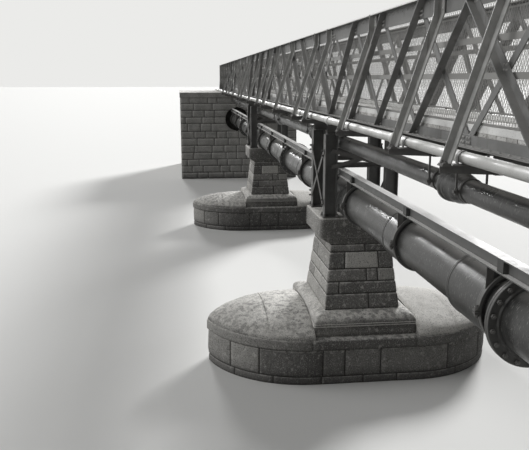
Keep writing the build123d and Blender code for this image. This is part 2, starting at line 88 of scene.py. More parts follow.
CAP_TOP_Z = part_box("near_pier_cap")[1].z
COLUMN_X, COLUMN_Y, COLUMN_DEPTH = 0.48, 0.47, 0.19
NECK_SIZE = (0.585, 0.46)  # half length and half width at the top of a pier's shaft
RECESS_RADIUS = 0.525  # of the ring round the main in an abutment
OUTRIGGER_XS = sorted(
    [x + side * COLUMN_X for x in PIER_XS for side in (-1, 1)]
    + [x + side * offset * PANEL for x in SPAN_MIDDLES for offset in (0.5, 2.2) for side in (-1, 1)]
)

# Where each socket of the main starts, and its length
SOCKET_RADIUS = 0.3
SOCKETS = [(x + offset, 0.48) for x in SPAN_MIDDLES for offset in (-2.898, 1.978, 4.370)]
SOCKETS += [(x - 0.287, 0.731) for x in SPAN_MIDDLES]
FLANGE_XS = [x - 0.568 for x in SPAN_MIDDLES]
COUPLING_XS = [x + offset for x in SPAN_MIDDLES for offset in (-4.169, 0.403)]
COUPLING_LENGTH = 0.403
HANGER_XS = [x + offset for x in COUPLING_XS for offset in (-0.02, COUPLING_LENGTH + 0.238)]

# The photographed view
FRAME_WIDTH = 529
FOCAL_PIXELS = 700
SENSOR_WIDTH = 36
EYE = Vector((-18.706, 2.71, 4.491))
LOOK_DOWN = math.radians(11.78)
LOOK_RIGHT = math.radians(6.87)


class SteelProperties(bpy.types.PropertyGroup):
    """Painted ironwork."""

    truss_colour: bpy.props.StringProperty(
        name="Truss paint", description="sRGB hex of the paint on the trusses", default="#727271"
    )
    trestle_colour: bpy.props.StringProperty(
        name="Trestle paint", description="sRGB hex of the paint under the walkway", default="#5c5c5b"
    )
    rivet_diameter: bpy.props.FloatProperty(
        name="Rivet head", description="Diameter of a rivet head", default=0.028, unit="LENGTH"
    )
    rivet_pitch: bpy.props.FloatProperty(
        name="Rivet pitch", description="Spacing along the chords", default=0.152, unit="LENGTH"
    )


class WalkwayProperties(bpy.types.PropertyGroup):
    """Boards, kerbs and wire mesh."""

    board_colour: bpy.props.StringProperty(
        name="Boards", description="sRGB hex of dry walked boards", default="#f0efec"
    )
    board_width: bpy.props.FloatProperty(
        name="Board width", description="Width of a cross board", default=0.152, unit="LENGTH"
    )
    board_gap: bpy.props.FloatProperty(
        name="Board gap", description="Gap between two boards", default=0.010, unit="LENGTH"
    )
    mesh_pitch: bpy.props.FloatProperty(
        name="Mesh pitch", description="Spacing of the strands along the bridge", default=0.042, unit="LENGTH"
    )
    mesh_rise: bpy.props.FloatProperty(
        name="Mesh rise", description="Height of one diamond", default=0.064, unit="LENGTH"
    )
    strand_width: bpy.props.FloatProperty(
        name="Strand width", description="Width of a strand of the mesh", default=0.0033, unit="LENGTH"
    )


class PipeProperties(bpy.types.PropertyGroup):
    """Cast-iron main and the smaller pipes."""

    tar_colour: bpy.props.StringProperty(
        name="Tar", description="sRGB hex of the tarred iron", default="#333332"
    )
    service_colour: bpy.props.StringProperty(
        name="Service paint", description="sRGB hex of the pale service pipe", default="#cbcbc8"
    )
    flange_radius: bpy.props.FloatProperty(
        name="Flange radius", description="Outer radius of a bolted flange", default=0.368, unit="LENGTH"
    )


class StoneProperties(bpy.types.PropertyGroup):
    """Masonry of the piers and abutments."""

    pier_colour: bpy.props.StringProperty(
        name="Pier stone", description="sRGB hex of the pier gritstone", default="#5f5e5c"
    )
    abutment_colour: bpy.props.StringProperty(
        name="Abutment stone", description="sRGB hex of the abutment stone", default="#a6a5a2"
    )
    joint_width: bpy.props.FloatProperty(
        name="Joint width", description="Width of a mortar joint", default=0.011, unit="LENGTH"
    )
    joint_depth: bpy.props.FloatProperty(
        name="Joint depth", description="How far the mortar lies back", default=0.012, unit="LENGTH"
    )


class StageProperties(bpy.types.PropertyGroup):
    """Floor and light."""

    floor_colour: bpy.props.StringProperty(
        name="Floor", description="sRGB hex of the floor", default="#d9d9d7"
    )
    sun_strength: bpy.props.FloatProperty(
        name="Sun strength", description="Strength of the soft high light", default=4.3
    )
    fill_strength: bpy.props.FloatProperty(
        name="Fill strength", description="Strength of the broad light from the left", default=1.4
    )
    sky_strength: bpy.props.FloatProperty(
        name="Sky strength", description="Strength of the light all round", default=0.12
    )


# Mesh helpers


class Pile:
    """Gathers many small shapes, and how pale their points are, into one mesh."""

    def __init__(self):
        self.verts = []
        self.faces = []
        self.tones = []
        self.count = 0

    def add(self, verts, faces, tones=()):
        verts = np.asarray(verts, float)
        self.verts.append(verts)
        self.faces.extend(tuple(i + self.count for i in face) for face in faces)
        self.tones.extend(tones)
        self.count += len(verts)

    def place(self, shape, matrix):
        verts, faces = shape
        turn = np.array(matrix.to_3x3())
        self.add(np.asarray(verts) @ turn.T + np.array(matrix.translation), faces)

    def make(self, name, material, smooth=False):
        """Adds the mesh object, which rides on the bridge; its material reads the tones."""
        mesh = bpy.data.meshes.new(name)
        mesh.from_pydata(np.concatenate(self.verts).tolist(), [], self.faces)
        mesh.update()
        if smooth:
            mesh.polygons.foreach_set("use_smooth", [True] * len(mesh.polygons))
        if self.tones:
            mesh.attributes.new("tone", "FLOAT", "POINT").data.foreach_set("value", self.tones)
        mesh.materials.append(material)
        piece = bpy.data.objects.new(name, mesh)
        bpy.context.scene.collection.objects.link(piece)
        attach(piece, "root")
        return piece


def grid_faces(rows, across, closed=False):
    """Quads of points given row by row; closed rows run round on themselves."""
    faces = []
    for j in range(rows - 1):
        for i in range(across if closed else across - 1):
            k = (i + 1) % across
            faces.append((j * across + i, j * across + k, (j + 1) * across + k, (j + 1) * across + i))
    return faces


def circle(radius, sides):
    """Points round a circle, from the first axis towards the second."""
    angles = [2 * math.pi * i / sides for i in range(sides)]
    return [(radius * math.cos(angle), radius * math.sin(angle)) for angle in angles]


def prism(outline, x0, x1):
    """Solid along X from an outline in Y and Z that runs from +Y towards +Z."""
    count = len(outline)
    verts = [(x, y, z) for x in (x0, x1) for y, z in outline]
    faces = [face[::-1] for face in grid_faces(2, count, closed=True)]
    faces += [tuple(reversed(range(count))), tuple(range(count, 2 * count))]
    return verts, faces


def box(x0, x1, y0, y1, z0, z1):
    """Plate or block between six planes."""
    return prism([(y0, z0), (y1, z0), (y1, z1), (y0, z1)], x0, x1)


def turned(profile, sides, start=0.0, base=0.0):
    """Open shape turned about X from (x, radius) points that count from start and base."""
    verts = [(start + x, y, z) for x, radius in profile for y, z in circle(base + radius, sides)]
    return verts, grid_faces(len(profile), sides, closed=True)


def arc_band(x0, x1, inner, outer, first, last, steps):
    """Flat bar bent round X, from one angle to another, measured in degrees from +Y towards +Z."""
    verts = []
    for i in range(steps + 1):
        angle = math.radians(first + (last - first) * i / steps)
        for x, radius in ((x0, inner), (x1, inner), (x1, outer), (x0, outer)):
            verts.append((x, radius * math.cos(angle), radius * math.sin(angle)))
    faces = grid_faces(steps + 1, 4, closed=True)
    return verts, faces + [(3, 2, 1, 0), tuple(4 * steps + k for k in range(4))]


def rivet_head(diameter, sides=8):
    """Low round head that stands along +Z."""
    radius = diameter / 2
    verts = [(0, 0, radius * 0.62)]
    for ring_radius, height in ((radius * 0.62, radius * 0.48), (radius, -0.001)):
        verts += [(x, y, height) for x, y in circle(ring_radius, sides)]
    steps = [(i, (i + 1) % sides) for i in range(sides)]
    faces = [(0, 1 + i, 1 + k) for i, k in steps]
    faces += [(1 + i, 1 + sides + i, 1 + sides + k, 1 + k) for i, k in steps]
    return verts, faces


def hex_nut(across, height, stud):
    """Hexagon nut along +Z with the end of its stud."""
    verts, faces = [], []
    nut = (across / 1.732, 6, -0.001, height)
    stud_end = (across * 0.27, 8, height, height + stud)
    for radius, sides, low, high in (nut, stud_end):
        start = len(verts)
        verts += [(x, y, z) for z in (low, high) for x, y in circle(radius, sides)]
        faces += [tuple(start + i for i in face) for face in grid_faces(2, sides, closed=True)]
        faces.append(tuple(range(start + sides, start + 2 * sides)))
    return verts, faces


def facing(origin, normal):
    """Matrix that puts a shape's +Z along normal at origin."""
    return Matrix.Translation(origin) @ Vector(normal).to_track_quat("Z", "Y").to_matrix().to_4x4()


def bar(start, end, width, depth, normal):
    """Straight bar between two points, width across normal and depth along it; its ends come last."""
    start, end, normal = Vector(start), Vector(end), Vector(normal).normalized()
    across = (end - start).cross(normal).normalized() * width / 2
    out = normal * depth / 2
    corners = ((-1, -1), (1, -1), (1, 1), (-1, 1))
    verts = [spot + side * across + face * out for spot in (start, end) for side, face in corners]
    faces = [(4, 5, 1, 0), (5, 6, 2, 1), (6, 7, 3, 2), (7, 4, 0, 3), (0, 1, 2, 3), (7, 6, 5, 4)]
    return verts, faces


# Materials


def linear(code):
    """sRGB hex to the linear colour that a shader takes."""
    parts = [int(code[i : i + 2], 16) / 255 for i in (1, 3, 5)]
    return tuple(c / 12.92 if c <= 0.04045 else ((c + 0.055) / 1.055) ** 2.4 for c in parts) + (1.0,)


def shaded(code, factor):
    """The linear colour of a hex value, made lighter or darker by a factor."""
    return tuple(min(1.0, c * factor) for c in linear(code)[:3]) + (1.0,)


def fill(tree, socket, value):
    """Links another node's output to a socket, or sets a plain value."""
    if isinstance(value, bpy.types.NodeSocket):
        tree.links.new(value, socket)
    else:
        socket.default_value = value


def node(tree, kind, inputs=None, **settings):
    """Adds a node, sets its settings, and fills its inputs with values or links."""
    made = tree.nodes.new(kind)
    for name, value in settings.items():
        setattr(made, name, value)
    for key, value in (inputs or {}).items():
        fill(tree, made.inputs[key], value)
    return made


def start_material(name):
    """New node material with its shader, and the object coordinates that every pattern uses."""
    material = bpy.data.materials.new(name)
    material.use_nodes = True
    tree = material.node_tree
    tree.nodes.clear()
    shader = node(tree, "ShaderNodeBsdfPrincipled")
    node(tree, "ShaderNodeOutputMaterial", {"Surface": shader.outputs["BSDF"]})
    return material, tree, shader, node(tree, "ShaderNodeTexCoord").outputs["Object"]


def cloudy(tree, place, scale, detail):
    """Noise at a scale, with finer noise on it."""
    inputs = {"Vector": place, "Scale": scale, "Detail": detail}
    return node(tree, "ShaderNodeTexNoise", inputs).outputs["Fac"]


def stretch(tree, place, scale, turn=(0.0, 0.0, 0.0)):
    """Coordinates that draw a pattern out one way."""
    inputs = {"Vector": place, "Rotation": turn, "Scale": scale}
    return node(tree, "ShaderNodeMapping", inputs).outputs["Vector"]


def height_of(tree, vector):
    """Z of a vector: of a place its height, of a normal how far it faces up."""
    return node(tree, "ShaderNodeSeparateXYZ", {"Vector": vector}).outputs["Z"]


def stored_tone(tree):
    """How pale each stone or board is."""
    return node(tree, "ShaderNodeAttribute", attribute_name="tone").outputs["Fac"]


def calculate(tree, operation, first, second):
    return node(tree, "ShaderNodeMath", {0: first, 1: second}, operation=operation).outputs[0]


def ramp(tree, value, low, high, first=0.0, last=1.0):
    """Smooth step of a value from low to high."""
    inputs = {"Value": value, "From Min": low, "From Max": high, "To Min": first, "To Max": last}
    return node(tree, "ShaderNodeMapRange", inputs, interpolation_type="SMOOTHSTEP").outputs["Result"]


def mix(tree, factor, first, second):
    """Colour mix; the colour sockets of the node are its seventh and eighth inputs."""
    return node(tree, "ShaderNodeMix", {0: factor, 6: first, 7: second}, data_type="RGBA").outputs[2]


def layered(tree, base, *layers):
    """Lays colours over a base. A layer is a pattern, its values of no cover and full cover, how much the
    full cover hides, and a colour."""
    for pattern, low, high, cover, colour in layers:
        base = mix(tree, ramp(tree, pattern, low, high, 0.0, cover), base, colour)
    return base


def join(tree, shader, base, roughness, relief, strength, depth):
    """Gives the shader its colour, its roughness and its relief."""
    bump = node(tree, "ShaderNodeBump", {"Height": relief, "Strength": strength, "Distance": depth})
    fill(tree, shader.inputs["Base Color"], base)
    fill(tree, shader.inputs["Roughness"], roughness)
    fill(tree, shader.inputs["Normal"], bump.outputs["Normal"])


def painted_iron(name, colour, wear_and_top_light="#a4a3a0", chipped=0.7):
    """Old lead paint on riveted wrought iron: dull, rust-streaked, worn pale at edges, and paler on top,
    partly chalking and partly a painted highlight.
    """
    material, tree, shader, place = start_material(name)
    geometry = node(tree, "ShaderNodeNewGeometry")
    brush = cloudy(tree, place, 9.0, 6.0)
    runs = cloudy(tree, stretch(tree, place, (26.0, 26.0, 2.2)), 1.0, 4.0)
    base = layered(
        tree, linear(colour),
        (brush, 0.35, 0.7, 1.0, shaded(colour, 1.35)),
        (runs, 0.56, 0.75, 0.5, linear("#595450")),
        # Up-facing faces turn paler: partly chalking, partly a painted highlight where light falls on the
        # tops
        (height_of(tree, geometry.outputs["Normal"]), 0.35, 0.95, 0.75, linear(wear_and_top_light)),
        (geometry.outputs["Pointiness"], 0.53, 0.6, chipped, linear(wear_and_top_light)),
    )
    rough = ramp(tree, brush, 0.3, 0.7, 0.42, 0.66)
    join(tree, shader, base, rough, cloudy(tree, place, 140.0, 3.0), 0.25, 0.002)
    return material


def tarred_iron(name, colour):
    """Cast iron dipped in tar: sand-cast grain, a dull sheen, grey scuffs, and a pale top that is partly dust
    and partly a painted highlight.
    """
    material, tree, shader, place = start_material(name)
    blotch = cloudy(tree, place, 3.4, 7.0)
    scuffs = cloudy(tree, stretch(tree, place, (95.0, 14.0, 26.0), (0.0, 0.6, 0.5)), 1.0, 3.0)
    up = height_of(tree, node(tree, "ShaderNodeNewGeometry").outputs["Normal"])
    base = layered(
        tree, linear(colour),
        (blotch, 0.36, 0.66, 1.0, shaded(colour, 1.45)),
        (scuffs, 0.60, 0.72, 0.4, linear("#b4b3af")),
        (scuffs, 0.42, 0.32, 0.5, shaded(colour, 0.5)),
        # Up-facing faces turn pale: partly dust, partly a painted highlight along the top of the pipe
        (up, 0.7, 1.0, 0.6, linear("#b0aeaa")),
    )
    rough = ramp(tree, blotch, 0.3, 0.7, 0.26, 0.42)
    join(tree, shader, base, rough, cloudy(tree, place, 85.0, 5.0), 0.3, 0.003)
    return material


def pale_paint(name, colour):
    """White oil paint on pipe or board: dirty in patches and speckled with grime."""
    material, tree, shader, place = start_material(name)
    patches = cloudy(tree, place, 5.0, 8.0)
    specks = cloudy(tree, place, 120.0, 2.0)
    base = layered(
        tree, linear(colour),
        (patches, 0.48, 0.72, 0.45, linear("#a3a19d")),
        (specks, 0.62, 0.74, 0.6, linear("#6b6966")),
    )
    join(tree, shader, base, ramp(tree, patches, 0.3, 0.7, 0.36, 0.6), specks, 0.2, 0.001)
    return material


def sawn_timber(name, colour, along):
    """Softwood boards sawn and left to silver in the weather: grain ridges, dark checks, uneven tones."""
    material, tree, shader, place = start_material(name)
    drawn_out = stretch(tree, place, (3.0, 60.0, 60.0) if along == "X" else (60.0, 3.0, 60.0))
    grain = cloudy(tree, drawn_out, 1.0, 6.0)
    base = layered(
        tree, linear(colour),
        (grain, 0.45, 0.72, 1.0, linear("#b0aea9")),
        (cloudy(tree, drawn_out, 0.55, 2.0), 0.66, 0.72, 0.8, linear("#3f3c38")),
        (stored_tone(tree), 0.0, 1.0, 0.4, linear("#8d8b87")),
    )
    join(tree, shader, base, 0.82, grain, 0.5, 0.002)
    return material


def gritstone(name, colour, lichen="#d6d4cf"):
    """Tooled gritstone: coarse flecked grain, pale lichen where rain lies, damp at the water, and painted
    light where the stored tone marks a lit side.
    """
    material, tree, shader, place = start_material(name)
    # The grit itself is finer; flecks of about 20 mm are the smallest that show
    flecks = cloudy(tree, place, 58.0, 3.0)
    growth = cloudy(tree, place, 13.0, 8.0)
    base = layered(
        tree, linear(colour),
        (cloudy(tree, place, 2.6, 9.0), 0.34, 0.68, 1.0, shaded(colour, 1.4)),
        # The stored tone pales stones towards the lichen colour: partly their own random tone, partly painted
        # light on lit sides
        (stored_tone(tree), 0.0, 1.0, 0.9, linear(lichen)),
        (growth, 0.56, 0.72, 0.5, linear(lichen)),
    )
    up = height_of(tree, node(tree, "ShaderNodeNewGeometry").outputs["Normal"])
    spread = ramp(tree, growth, 0.40, 0.56, 0.25, 1.0)
    lying = calculate(tree, "MULTIPLY", ramp(tree, up, 0.3, 0.85, 0.0, 0.9), spread)
    base = layered(
        tree, mix(tree, lying, base, linear(lichen)),
        (flecks, 0.57, 0.68, 0.38, shaded(lichen, 1.2)),
        (flecks, 0.46, 0.34, 0.6, shaded(colour, 0.4)),
        (height_of(tree, place), 0.34, 0.02, 0.6, shaded(colour, 0.4)),
    )
    pits = node(tree, "ShaderNodeTexVoronoi", {"Vector": place, "Scale": 55.0}).outputs["Distance"]
    relief = calculate(tree, "ADD", cloudy(tree, place, 160.0, 4.0), ramp(tree, pits, 0.0, 0.3))
    join(tree, shader, base, 0.88, calculate(tree, "ADD", relief, flecks), 0.7, 0.006)
    return material


def lime_mortar(name, colour):
    """Lime mortar struck back in the joints: sandy, and stained dark in patches."""
    material, tree, shader, place = start_material(name)
    base = layered(tree, linear(colour), (cloudy(tree, place, 4.0, 6.0), 0.38, 0.64, 1.0, linear("#3b3936")))
    join(tree, shader, base, 0.95, cloudy(tree, place, 220.0, 3.0), 0.5, 0.002)
    return material


def finish_of(name):
    """The finished materials by name, made once."""
    made = bpy.data.materials.get(name)
    if made is not None:
        return made
    scene = bpy.context.scene
    steel, stone_settings = scene.footbridge_steel, scene.footbridge_stone
    makers = {
        "lead_painted_truss_iron": (painted_iron, steel.truss_colour),
        "lead_painted_rail_iron": (painted_iron, "#6a6a69"),
        "lead_painted_girder_iron": (painted_iron, steel.trestle_colour, "#565452"),
        "bleached_plate_edge": (painted_iron, "#d9d9d6", "#e8e7e4", 0.0),
        "chalked_outrigger_iron": (painted_iron, "#9c9c9a", "#d8d7d4", 0.0),
        # The beam's near-white top flange is a painted highlight on a dark web paint
        "chalked_beam_iron": (painted_iron, "#5c5c5b", "#fbfaf8", 0.0),
        # Near-black finish of flanges, clamps, lugs and bolts: tar black, darkened further as painted shade
        # for their shaded faces
        "tar_blacked_iron": (painted_iron, "#3a3a39", "#6c6b69"),
        "tar_dipped_cast_iron": (tarred_iron, scene.footbridge_pipes.tar_colour),
        "white_oil_painted_pipe": (pale_paint, scene.footbridge_pipes.service_colour),
        "white_oil_painted_kerb": (pale_paint, "#fafaf8"),
        "silvered_cross_boards": (sawn_timber, scene.footbridge_walkway.board_colour, "Y"),
        "sawn_stringer_timber": (sawn_timber, "#6f6e6a", "X"),
        "tooled_pier_gritstone": (gritstone, stone_settings.pier_colour),
        "coursed_abutment_stone": (gritstone, stone_settings.abutment_colour),
        "struck_lime_mortar": (lime_mortar, "#4b4a48"),
    }
    maker, *values = makers[name]
    return maker(name, *values)


NODE_FINISHES = {
    "truss_paint": "lead_painted_truss_iron",
    "rail_paint": "lead_painted_rail_iron",
    "girder_paint": "lead_painted_girder_iron",
    "trestle_paint": "lead_painted_girder_iron",
    "main_paint": "tar_dipped_cast_iron",
    "pale_paint": "white_oil_painted_pipe",
    "timber": "sawn_stringer_timber",
    "deck_boards": "silvered_cross_boards",
    "kerb_paint": "white_oil_painted_kerb",
    "pier_stone": "struck_lime_mortar",
    "abutment_stone": "struck_lime_mortar",
}


# Masonry


class Ring:
    """Closed outline of a course, walked counter-clockwise in metres."""

    def __init__(self, points):
        self.points = [Vector(p) for p in points]
        self.starts = [0.0]
        for a, b in zip(self.points, self.points[1:] + self.points[:1]):
            self.starts.append(self.starts[-1] + (b - a).length)
        self.length = self.starts[-1]

    def locate(self, s):
        """Index of the run that holds s, and how far along that run it lies."""
        s = s % self.length
        index = int(np.searchsorted(self.starts, s, side="right")) - 1
        index = min(index, len(self.points) - 1)
        run = self.starts[index + 1] - self.starts[index]
        return index, (s - self.starts[index]) / run

    def point(self, index, share):
        a, b = self.points[index], self.points[(index + 1) % len(self.points)]
        return a.lerp(b, share)

    def normal(self, index, share):
        """Outward normal, turned half way at a corner."""
        count = len(self.points)
        along = (self.points[(index + 1) % count] - self.points[index]).normalized()
        out = Vector((along.y, -along.x))
        if share > 1e-6:
            return out
        before = (self.points[index] - self.points[index - 1]).normalized()
        other = Vector((before.y, -before.x))
        half = (out + other).normalized()
        return half / max(0.5, half.dot(out))


def rectangle_ring(half_x, half_y, centre_x):
    corners = ((1, -1), (1, 1), (-1, 1), (-1, -1))
    return Ring([(centre_x + sx * half_x, sy * half_y) for sx, sy in corners])


def upright_surface(low, high, z0, z1):
    """Surface between two rings; s runs along the lower one and v from 0 at z0 to 1 at z1."""

    def surface(s, v):
        index, share = low.locate(s)
        spot = low.point(index, share).lerp(high.point(index, share), v)
        out = low.normal(index, share)
        return Vector((spot.x, spot.y, z0 + (z1 - z0) * v)), Vector((out.x, out.y, 0))

    return surface


def spaced(low, high, margin, spacing, keep=()):
    """Grid values from low to high with a close line inside each edge, and the kept values among them."""
    inner = np.linspace(low + margin, high - margin, max(2, int((high - low) / spacing) + 1))
    values = [low] + list(inner) + [high]
    for value in keep:
        if low + margin * 1.5 < value < high - margin * 1.5:
            values = [v for v in values if abs(v - value) > margin * 0.6]
            values.append(value)
    return sorted(values)


def stone(pile, surface, span, rise, height, relief, seed, spacing=0.03, corners=(), tone=None):
    """One stone on a surface: its edges sink into the joints round a dressed or rough face.

    It covers span along the surface and rise up it, on the surface's scale, whose rise of 1 is height.
    """
    settings = bpy.context.scene.footbridge_stone
    half_joint, edge = settings.joint_width / 2, 0.006
    rng = Random(seed)
    lift = rng.uniform(0.0, 0.3) * relief + 0.006
    # Faces towards +Y are made paler by the second value: painted light for the side the sky lights
    paleness, lit = (rng.uniform(0.0, 0.3), 0.3) if tone is None else (tone, 0.0)
    s_values = spaced(span[0] + half_joint, span[1] - half_joint, edge, spacing, corners)
    gap = half_joint / height
    v_values = spaced(rise[0] + gap, rise[1] - gap, edge / height, spacing / height)
    verts, tones = [], []
    for j, v in enumerate(v_values):
        for i, s in enumerate(s_values):
            spot, out = surface(s, v)
            if i in (0, len(s_values) - 1) or j in (0, len(v_values) - 1):
                push = -settings.joint_depth
            else:
                from_side = min(s - s_values[1], s_values[-2] - s)
                from_bed = min(v - v_values[1], v_values[-2] - v) * height
                swell = min(1.0, min(from_side, from_bed) / 0.05)
                rough = noise.fractal(spot * 9.0 + Vector((seed, 0, 0)), 0.9, 2.1, 5)
                push = lift + relief * swell * (0.4 + 0.4 * rough)
            verts.append(spot + out * push)
            tones.append(paleness + lit * max(0.0, out.y))
    pile.add(verts, grid_faces(len(v_values), len(s_values)), tones)


def course(pile, low, high, z0, z1, cuts, relief, seed):
    """One course of stones round a pier. A cut is its place along the lower ring, and a paleness or None."""
    surface = upright_surface(low, high, z0, z1)
    cuts = sorted((s % low.length, tone) for s, tone in cuts)
    corners = [s + turn for s in low.starts[:-1] for turn in (0, low.length)]
    for i, (start, tone) in enumerate(cuts):
        end = cuts[(i + 1) % len(cuts)][0]
        if end <= start:
            end += low.length
        extent = ((start, end), (0.0, 1.0), z1 - z0)
        stone(pile, surface, *extent, relief, seed * 100 + i, corners=corners, tone=tone)


class CutwaterPlan:
    """Plan of a pier base: straight beside the plinth, two arcs to a blunt point at each end."""

    def __init__(self, pier_name):
        low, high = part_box(f"{pier_name}_base_coping")
        plinth_low, plinth_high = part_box(f"{pier_name}_plinth")
        self.centre_x = (low.x + high.x) / 2
        self.half_width = (high.x - low.x) / 2
        self.end_y = plinth_high.y
        self.reach = high.y - self.end_y
        self.radius = (self.half_width**2 + self.reach**2) / (2 * self.half_width)
        self.offset = self.radius - self.half_width
        self.base_z = plinth_low.z
        self.rise = high.z - self.base_z

    def half_width_at(self, y):
        past = max(0.0, abs(y) - self.end_y)
        return math.sqrt(max(0.0, self.radius**2 - past**2)) - self.offset

    def ring(self, inset, steps=14):
        """The plan's outline, set in from its edge."""
        radius = self.radius - inset
        out = [math.acos(self.offset / radius) * i / steps for i in range(steps + 1)]
        back = out[-2::-1]
        points = []
        for side, end, angles in ((1, 1, out), (-1, 1, back), (-1, -1, out), (1, -1, back)):
            for angle in angles:
                x = side * (radius * math.cos(angle) - self.offset)
                points.append((self.centre_x + x, end * (self.end_y + radius * math.sin(angle))))
        return Ring(points[-1:] + points[:-1])

    def along(self, ring, side, y):
        """Distance along the ring to where it passes y on that side."""
        found = None
        for index, point in enumerate(ring.points):
            after = ring.points[(index + 1) % len(ring.points)]
            on_side = ((point.x + after.x) / 2 - self.centre_x) * side >= 0
            if on_side and min(point.y, after.y) <= y <= max(point.y, after.y) and point.y != after.y:
                share = (y - point.y) / (after.y - point.y)
                found = ring.starts[index] + share * (ring.starts[index + 1] - ring.starts[index])
        return found

    def cuts(self, ring, table):
        """Cuts of a course where it passes the table's places on each side."""
        places = [self.along(ring, side, y) for side, ys in table.items() for y in ys]
        return [(s, None) for s in places if s is not None]

    def dome(self, x, y):
        """Height of the domed coping over its edge."""
        past = abs(y) - self.end_y
        reach = math.hypot(math.sqrt(x * x + 0.03**2) + self.offset, past)
        inset = min(max(0.0, self.radius - reach), self.half_width)
        return self.rise * math.sqrt(max(0.0, 1 - (1 - inset / self.half_width) ** 2))


# Joints of the pier bases: places across the bridge on the near side (-1) and the far side (1) of each
LOWER_CUTS = {-1: (1.95, 1.4, 0.69, 0.05, -0.47, -1.45), 1: (1.8, 0.95, 0.05, -0.8, -1.6)}
UPPER_CUTS = {-1: (2.0, 1.6, 0.67, 0.335, -0.215, -1.29, -1.95), 1: (2.05, 1.1, 0.35, -0.3, -1.05, -1.8)}
COPING_CUTS = {-1: (0.83, -0.76), 1: (1.7, 0.784, -0.05, -0.784, -1.6)}


def pier_base(pier_name, seed):
    """Block courses and the domed coping of one pier base."""
    plan = CutwaterPlan(pier_name)
    footing_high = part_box(f"{pier_name}_footing")[1]
    ring = plan.ring(plan.half_width - (footing_high.x - plan.centre_x))
    finish = finish_of("tooled_pier_gritstone")
    course_line = 0.123
    pile = Pile()
    course(pile, ring, ring, 0.0, course_line, plan.cuts(ring, LOWER_CUTS), 0.010, seed + 1)
    course(pile, ring, ring, course_line, footing_high.z, plan.cuts(ring, UPPER_CUTS), 0.020, seed + 2)
    blocks = pile.make(f"{pier_name}_footing_stones", finish, smooth=True)

    pile = Pile()
    edge = plan.ring(0.0)
    course(pile, edge, edge, footing_high.z, plan.base_z, plan.cuts(edge, COPING_CUTS), 0.004, seed + 3)
    for end in (-1, 1):
        dome_stones(pile, plan, end, seed + 4)
    add_coping_core(pile, plan, footing_high.z)
    coping = pile.make(f"{pier_name}_domed_coping", finish, smooth=True)
    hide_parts(f"{pier_name}_base_coping")


def bunched(steps):
    """Values from -1 to 1 that lie closer towards both ends."""
    return [math.sin(-math.pi / 2 + math.pi * i / steps) for i in range(steps + 1)]


def dome_stones(pile, plan, end, seed):
    """The domed top of one cutwater, as a slab beside the plinth and one at the tip."""
    rng = Random(seed * 7 + end)
    steps, columns = 26, bunched(44)
    for first, last in ((0.0, 0.42), (0.42, 1.0)):
        verts = []
        for j in range(steps + 1):
            y = plan.end_y + plan.reach * (first + (last - first) * math.sin(j * math.pi / 2 / steps))
            sunk = 0.012 if j == 0 or (j == steps and last < 1) else 0.0
            for column in columns:
                x = column * plan.half_width_at(y)
                spot = Vector((plan.centre_x + x, end * y, plan.base_z + plan.dome(x, y)))
                rough = noise.fractal(spot * 4.0, 0.8, 2.0, 5)
                spot.z += 0.003 + 0.006 * rough * min(1.0, plan.dome(x, y) / 0.05) - sunk
                verts.append(spot)
        # The dome at the -Y end is made paler: painted light for the sunlit dome against the shaded one
        paleness = rng.uniform(0.3, 0.5) + 0.5 * (end < 0)
        tones = [paleness + 0.3 * noise.fractal(v * 1.7, 0.9, 2.0, 4) for v in verts]
        pile.add(verts, [face[::end] for face in grid_faces(steps + 1, len(columns))], tones)


def add_coping_core(pile, plan, low_z):
    """Mortar-deep core of the coping, with the upright faces where the domes meet the plinth."""
    ring = plan.ring(0.008)
    count = len(ring.points)
    verts = [(p.x, p.y, z) for z in (low_z, plan.base_z - 0.001) for p in ring.points]
    faces = grid_faces(2, count, closed=True)
    faces += [tuple(reversed(range(count))), tuple(range(count, 2 * count))]
    pile.add(verts, faces, [0.1] * len(verts))
    xs = [plan.half_width * share for share in bunched(30)]
    rims = [(x, plan.base_z - 0.002) for x in xs]
    rims += [(x, plan.base_z + plan.dome(x, plan.end_y)) for x in xs]
    for end in (-1, 1):
        verts = [(plan.centre_x + x, end * (plan.end_y + 0.001), z) for x, z in rims]
        pile.add(verts, [face[::end] for face in grid_faces(2, len(xs))], [0.3] * len(verts))


def half_size(name):
    """Half the length and half the width of a node."""
    low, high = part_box(name)
    return (high.x - low.x) / 2, (high.y - low.y) / 2


def moulded_block(name, levels, corner, centre_x):
    """Block from rings of (half length, half width, height, paleness), with rounded upright corners."""
    quarters = ((1, -1, -90), (1, 1, 0), (-1, 1, 90), (-1, -1, 180))
    corner_steps, side_steps = 5, 12
    verts, tones = [], []
    for half_x, half_y, z, tone in levels:
        ring = []
        for sx, sy, start in quarters:
            for i in range(corner_steps):
                angle = math.radians(start + 22.5 * i)
                ring.append(Vector((
                    sx * (half_x - corner) + corner * math.cos(angle),
                    sy * (half_y - corner) + corner * math.sin(angle),
                )))
        for i, spot in enumerate(ring):
            after = ring[(i + 1) % len(ring)]
            steps = side_steps if i % corner_steps == corner_steps - 1 else 1
            for k in range(steps):
                flat = spot.lerp(after, k / steps)
                made = Vector((centre_x + flat.x, flat.y, z))
                rough = noise.fractal(made * 7.0, 0.9, 2.0, 4) * 0.003
                out = Vector((flat.x / half_x, flat.y / half_y, 0)).normalized()
                verts.append(made + out * (rough - 0.0015))
                # Faces towards +Y are made paler: painted light for the side the sky lights
                tones.append(tone + 0.35 * max(0.0, out.y) + 0.1 * noise.fractal(made * 3.0, 0.9, 2.0, 4))
    count = len(verts) // len(levels)
    faces = grid_faces(len(levels), count, closed=True)
    faces += [tuple(range(len(verts) - count, len(verts))), tuple(reversed(range(count)))]
    pile = Pile()
    pile.add(verts, faces, tones)
    return pile.make(name, finish_of("tooled_pier_gritstone"), smooth=True)


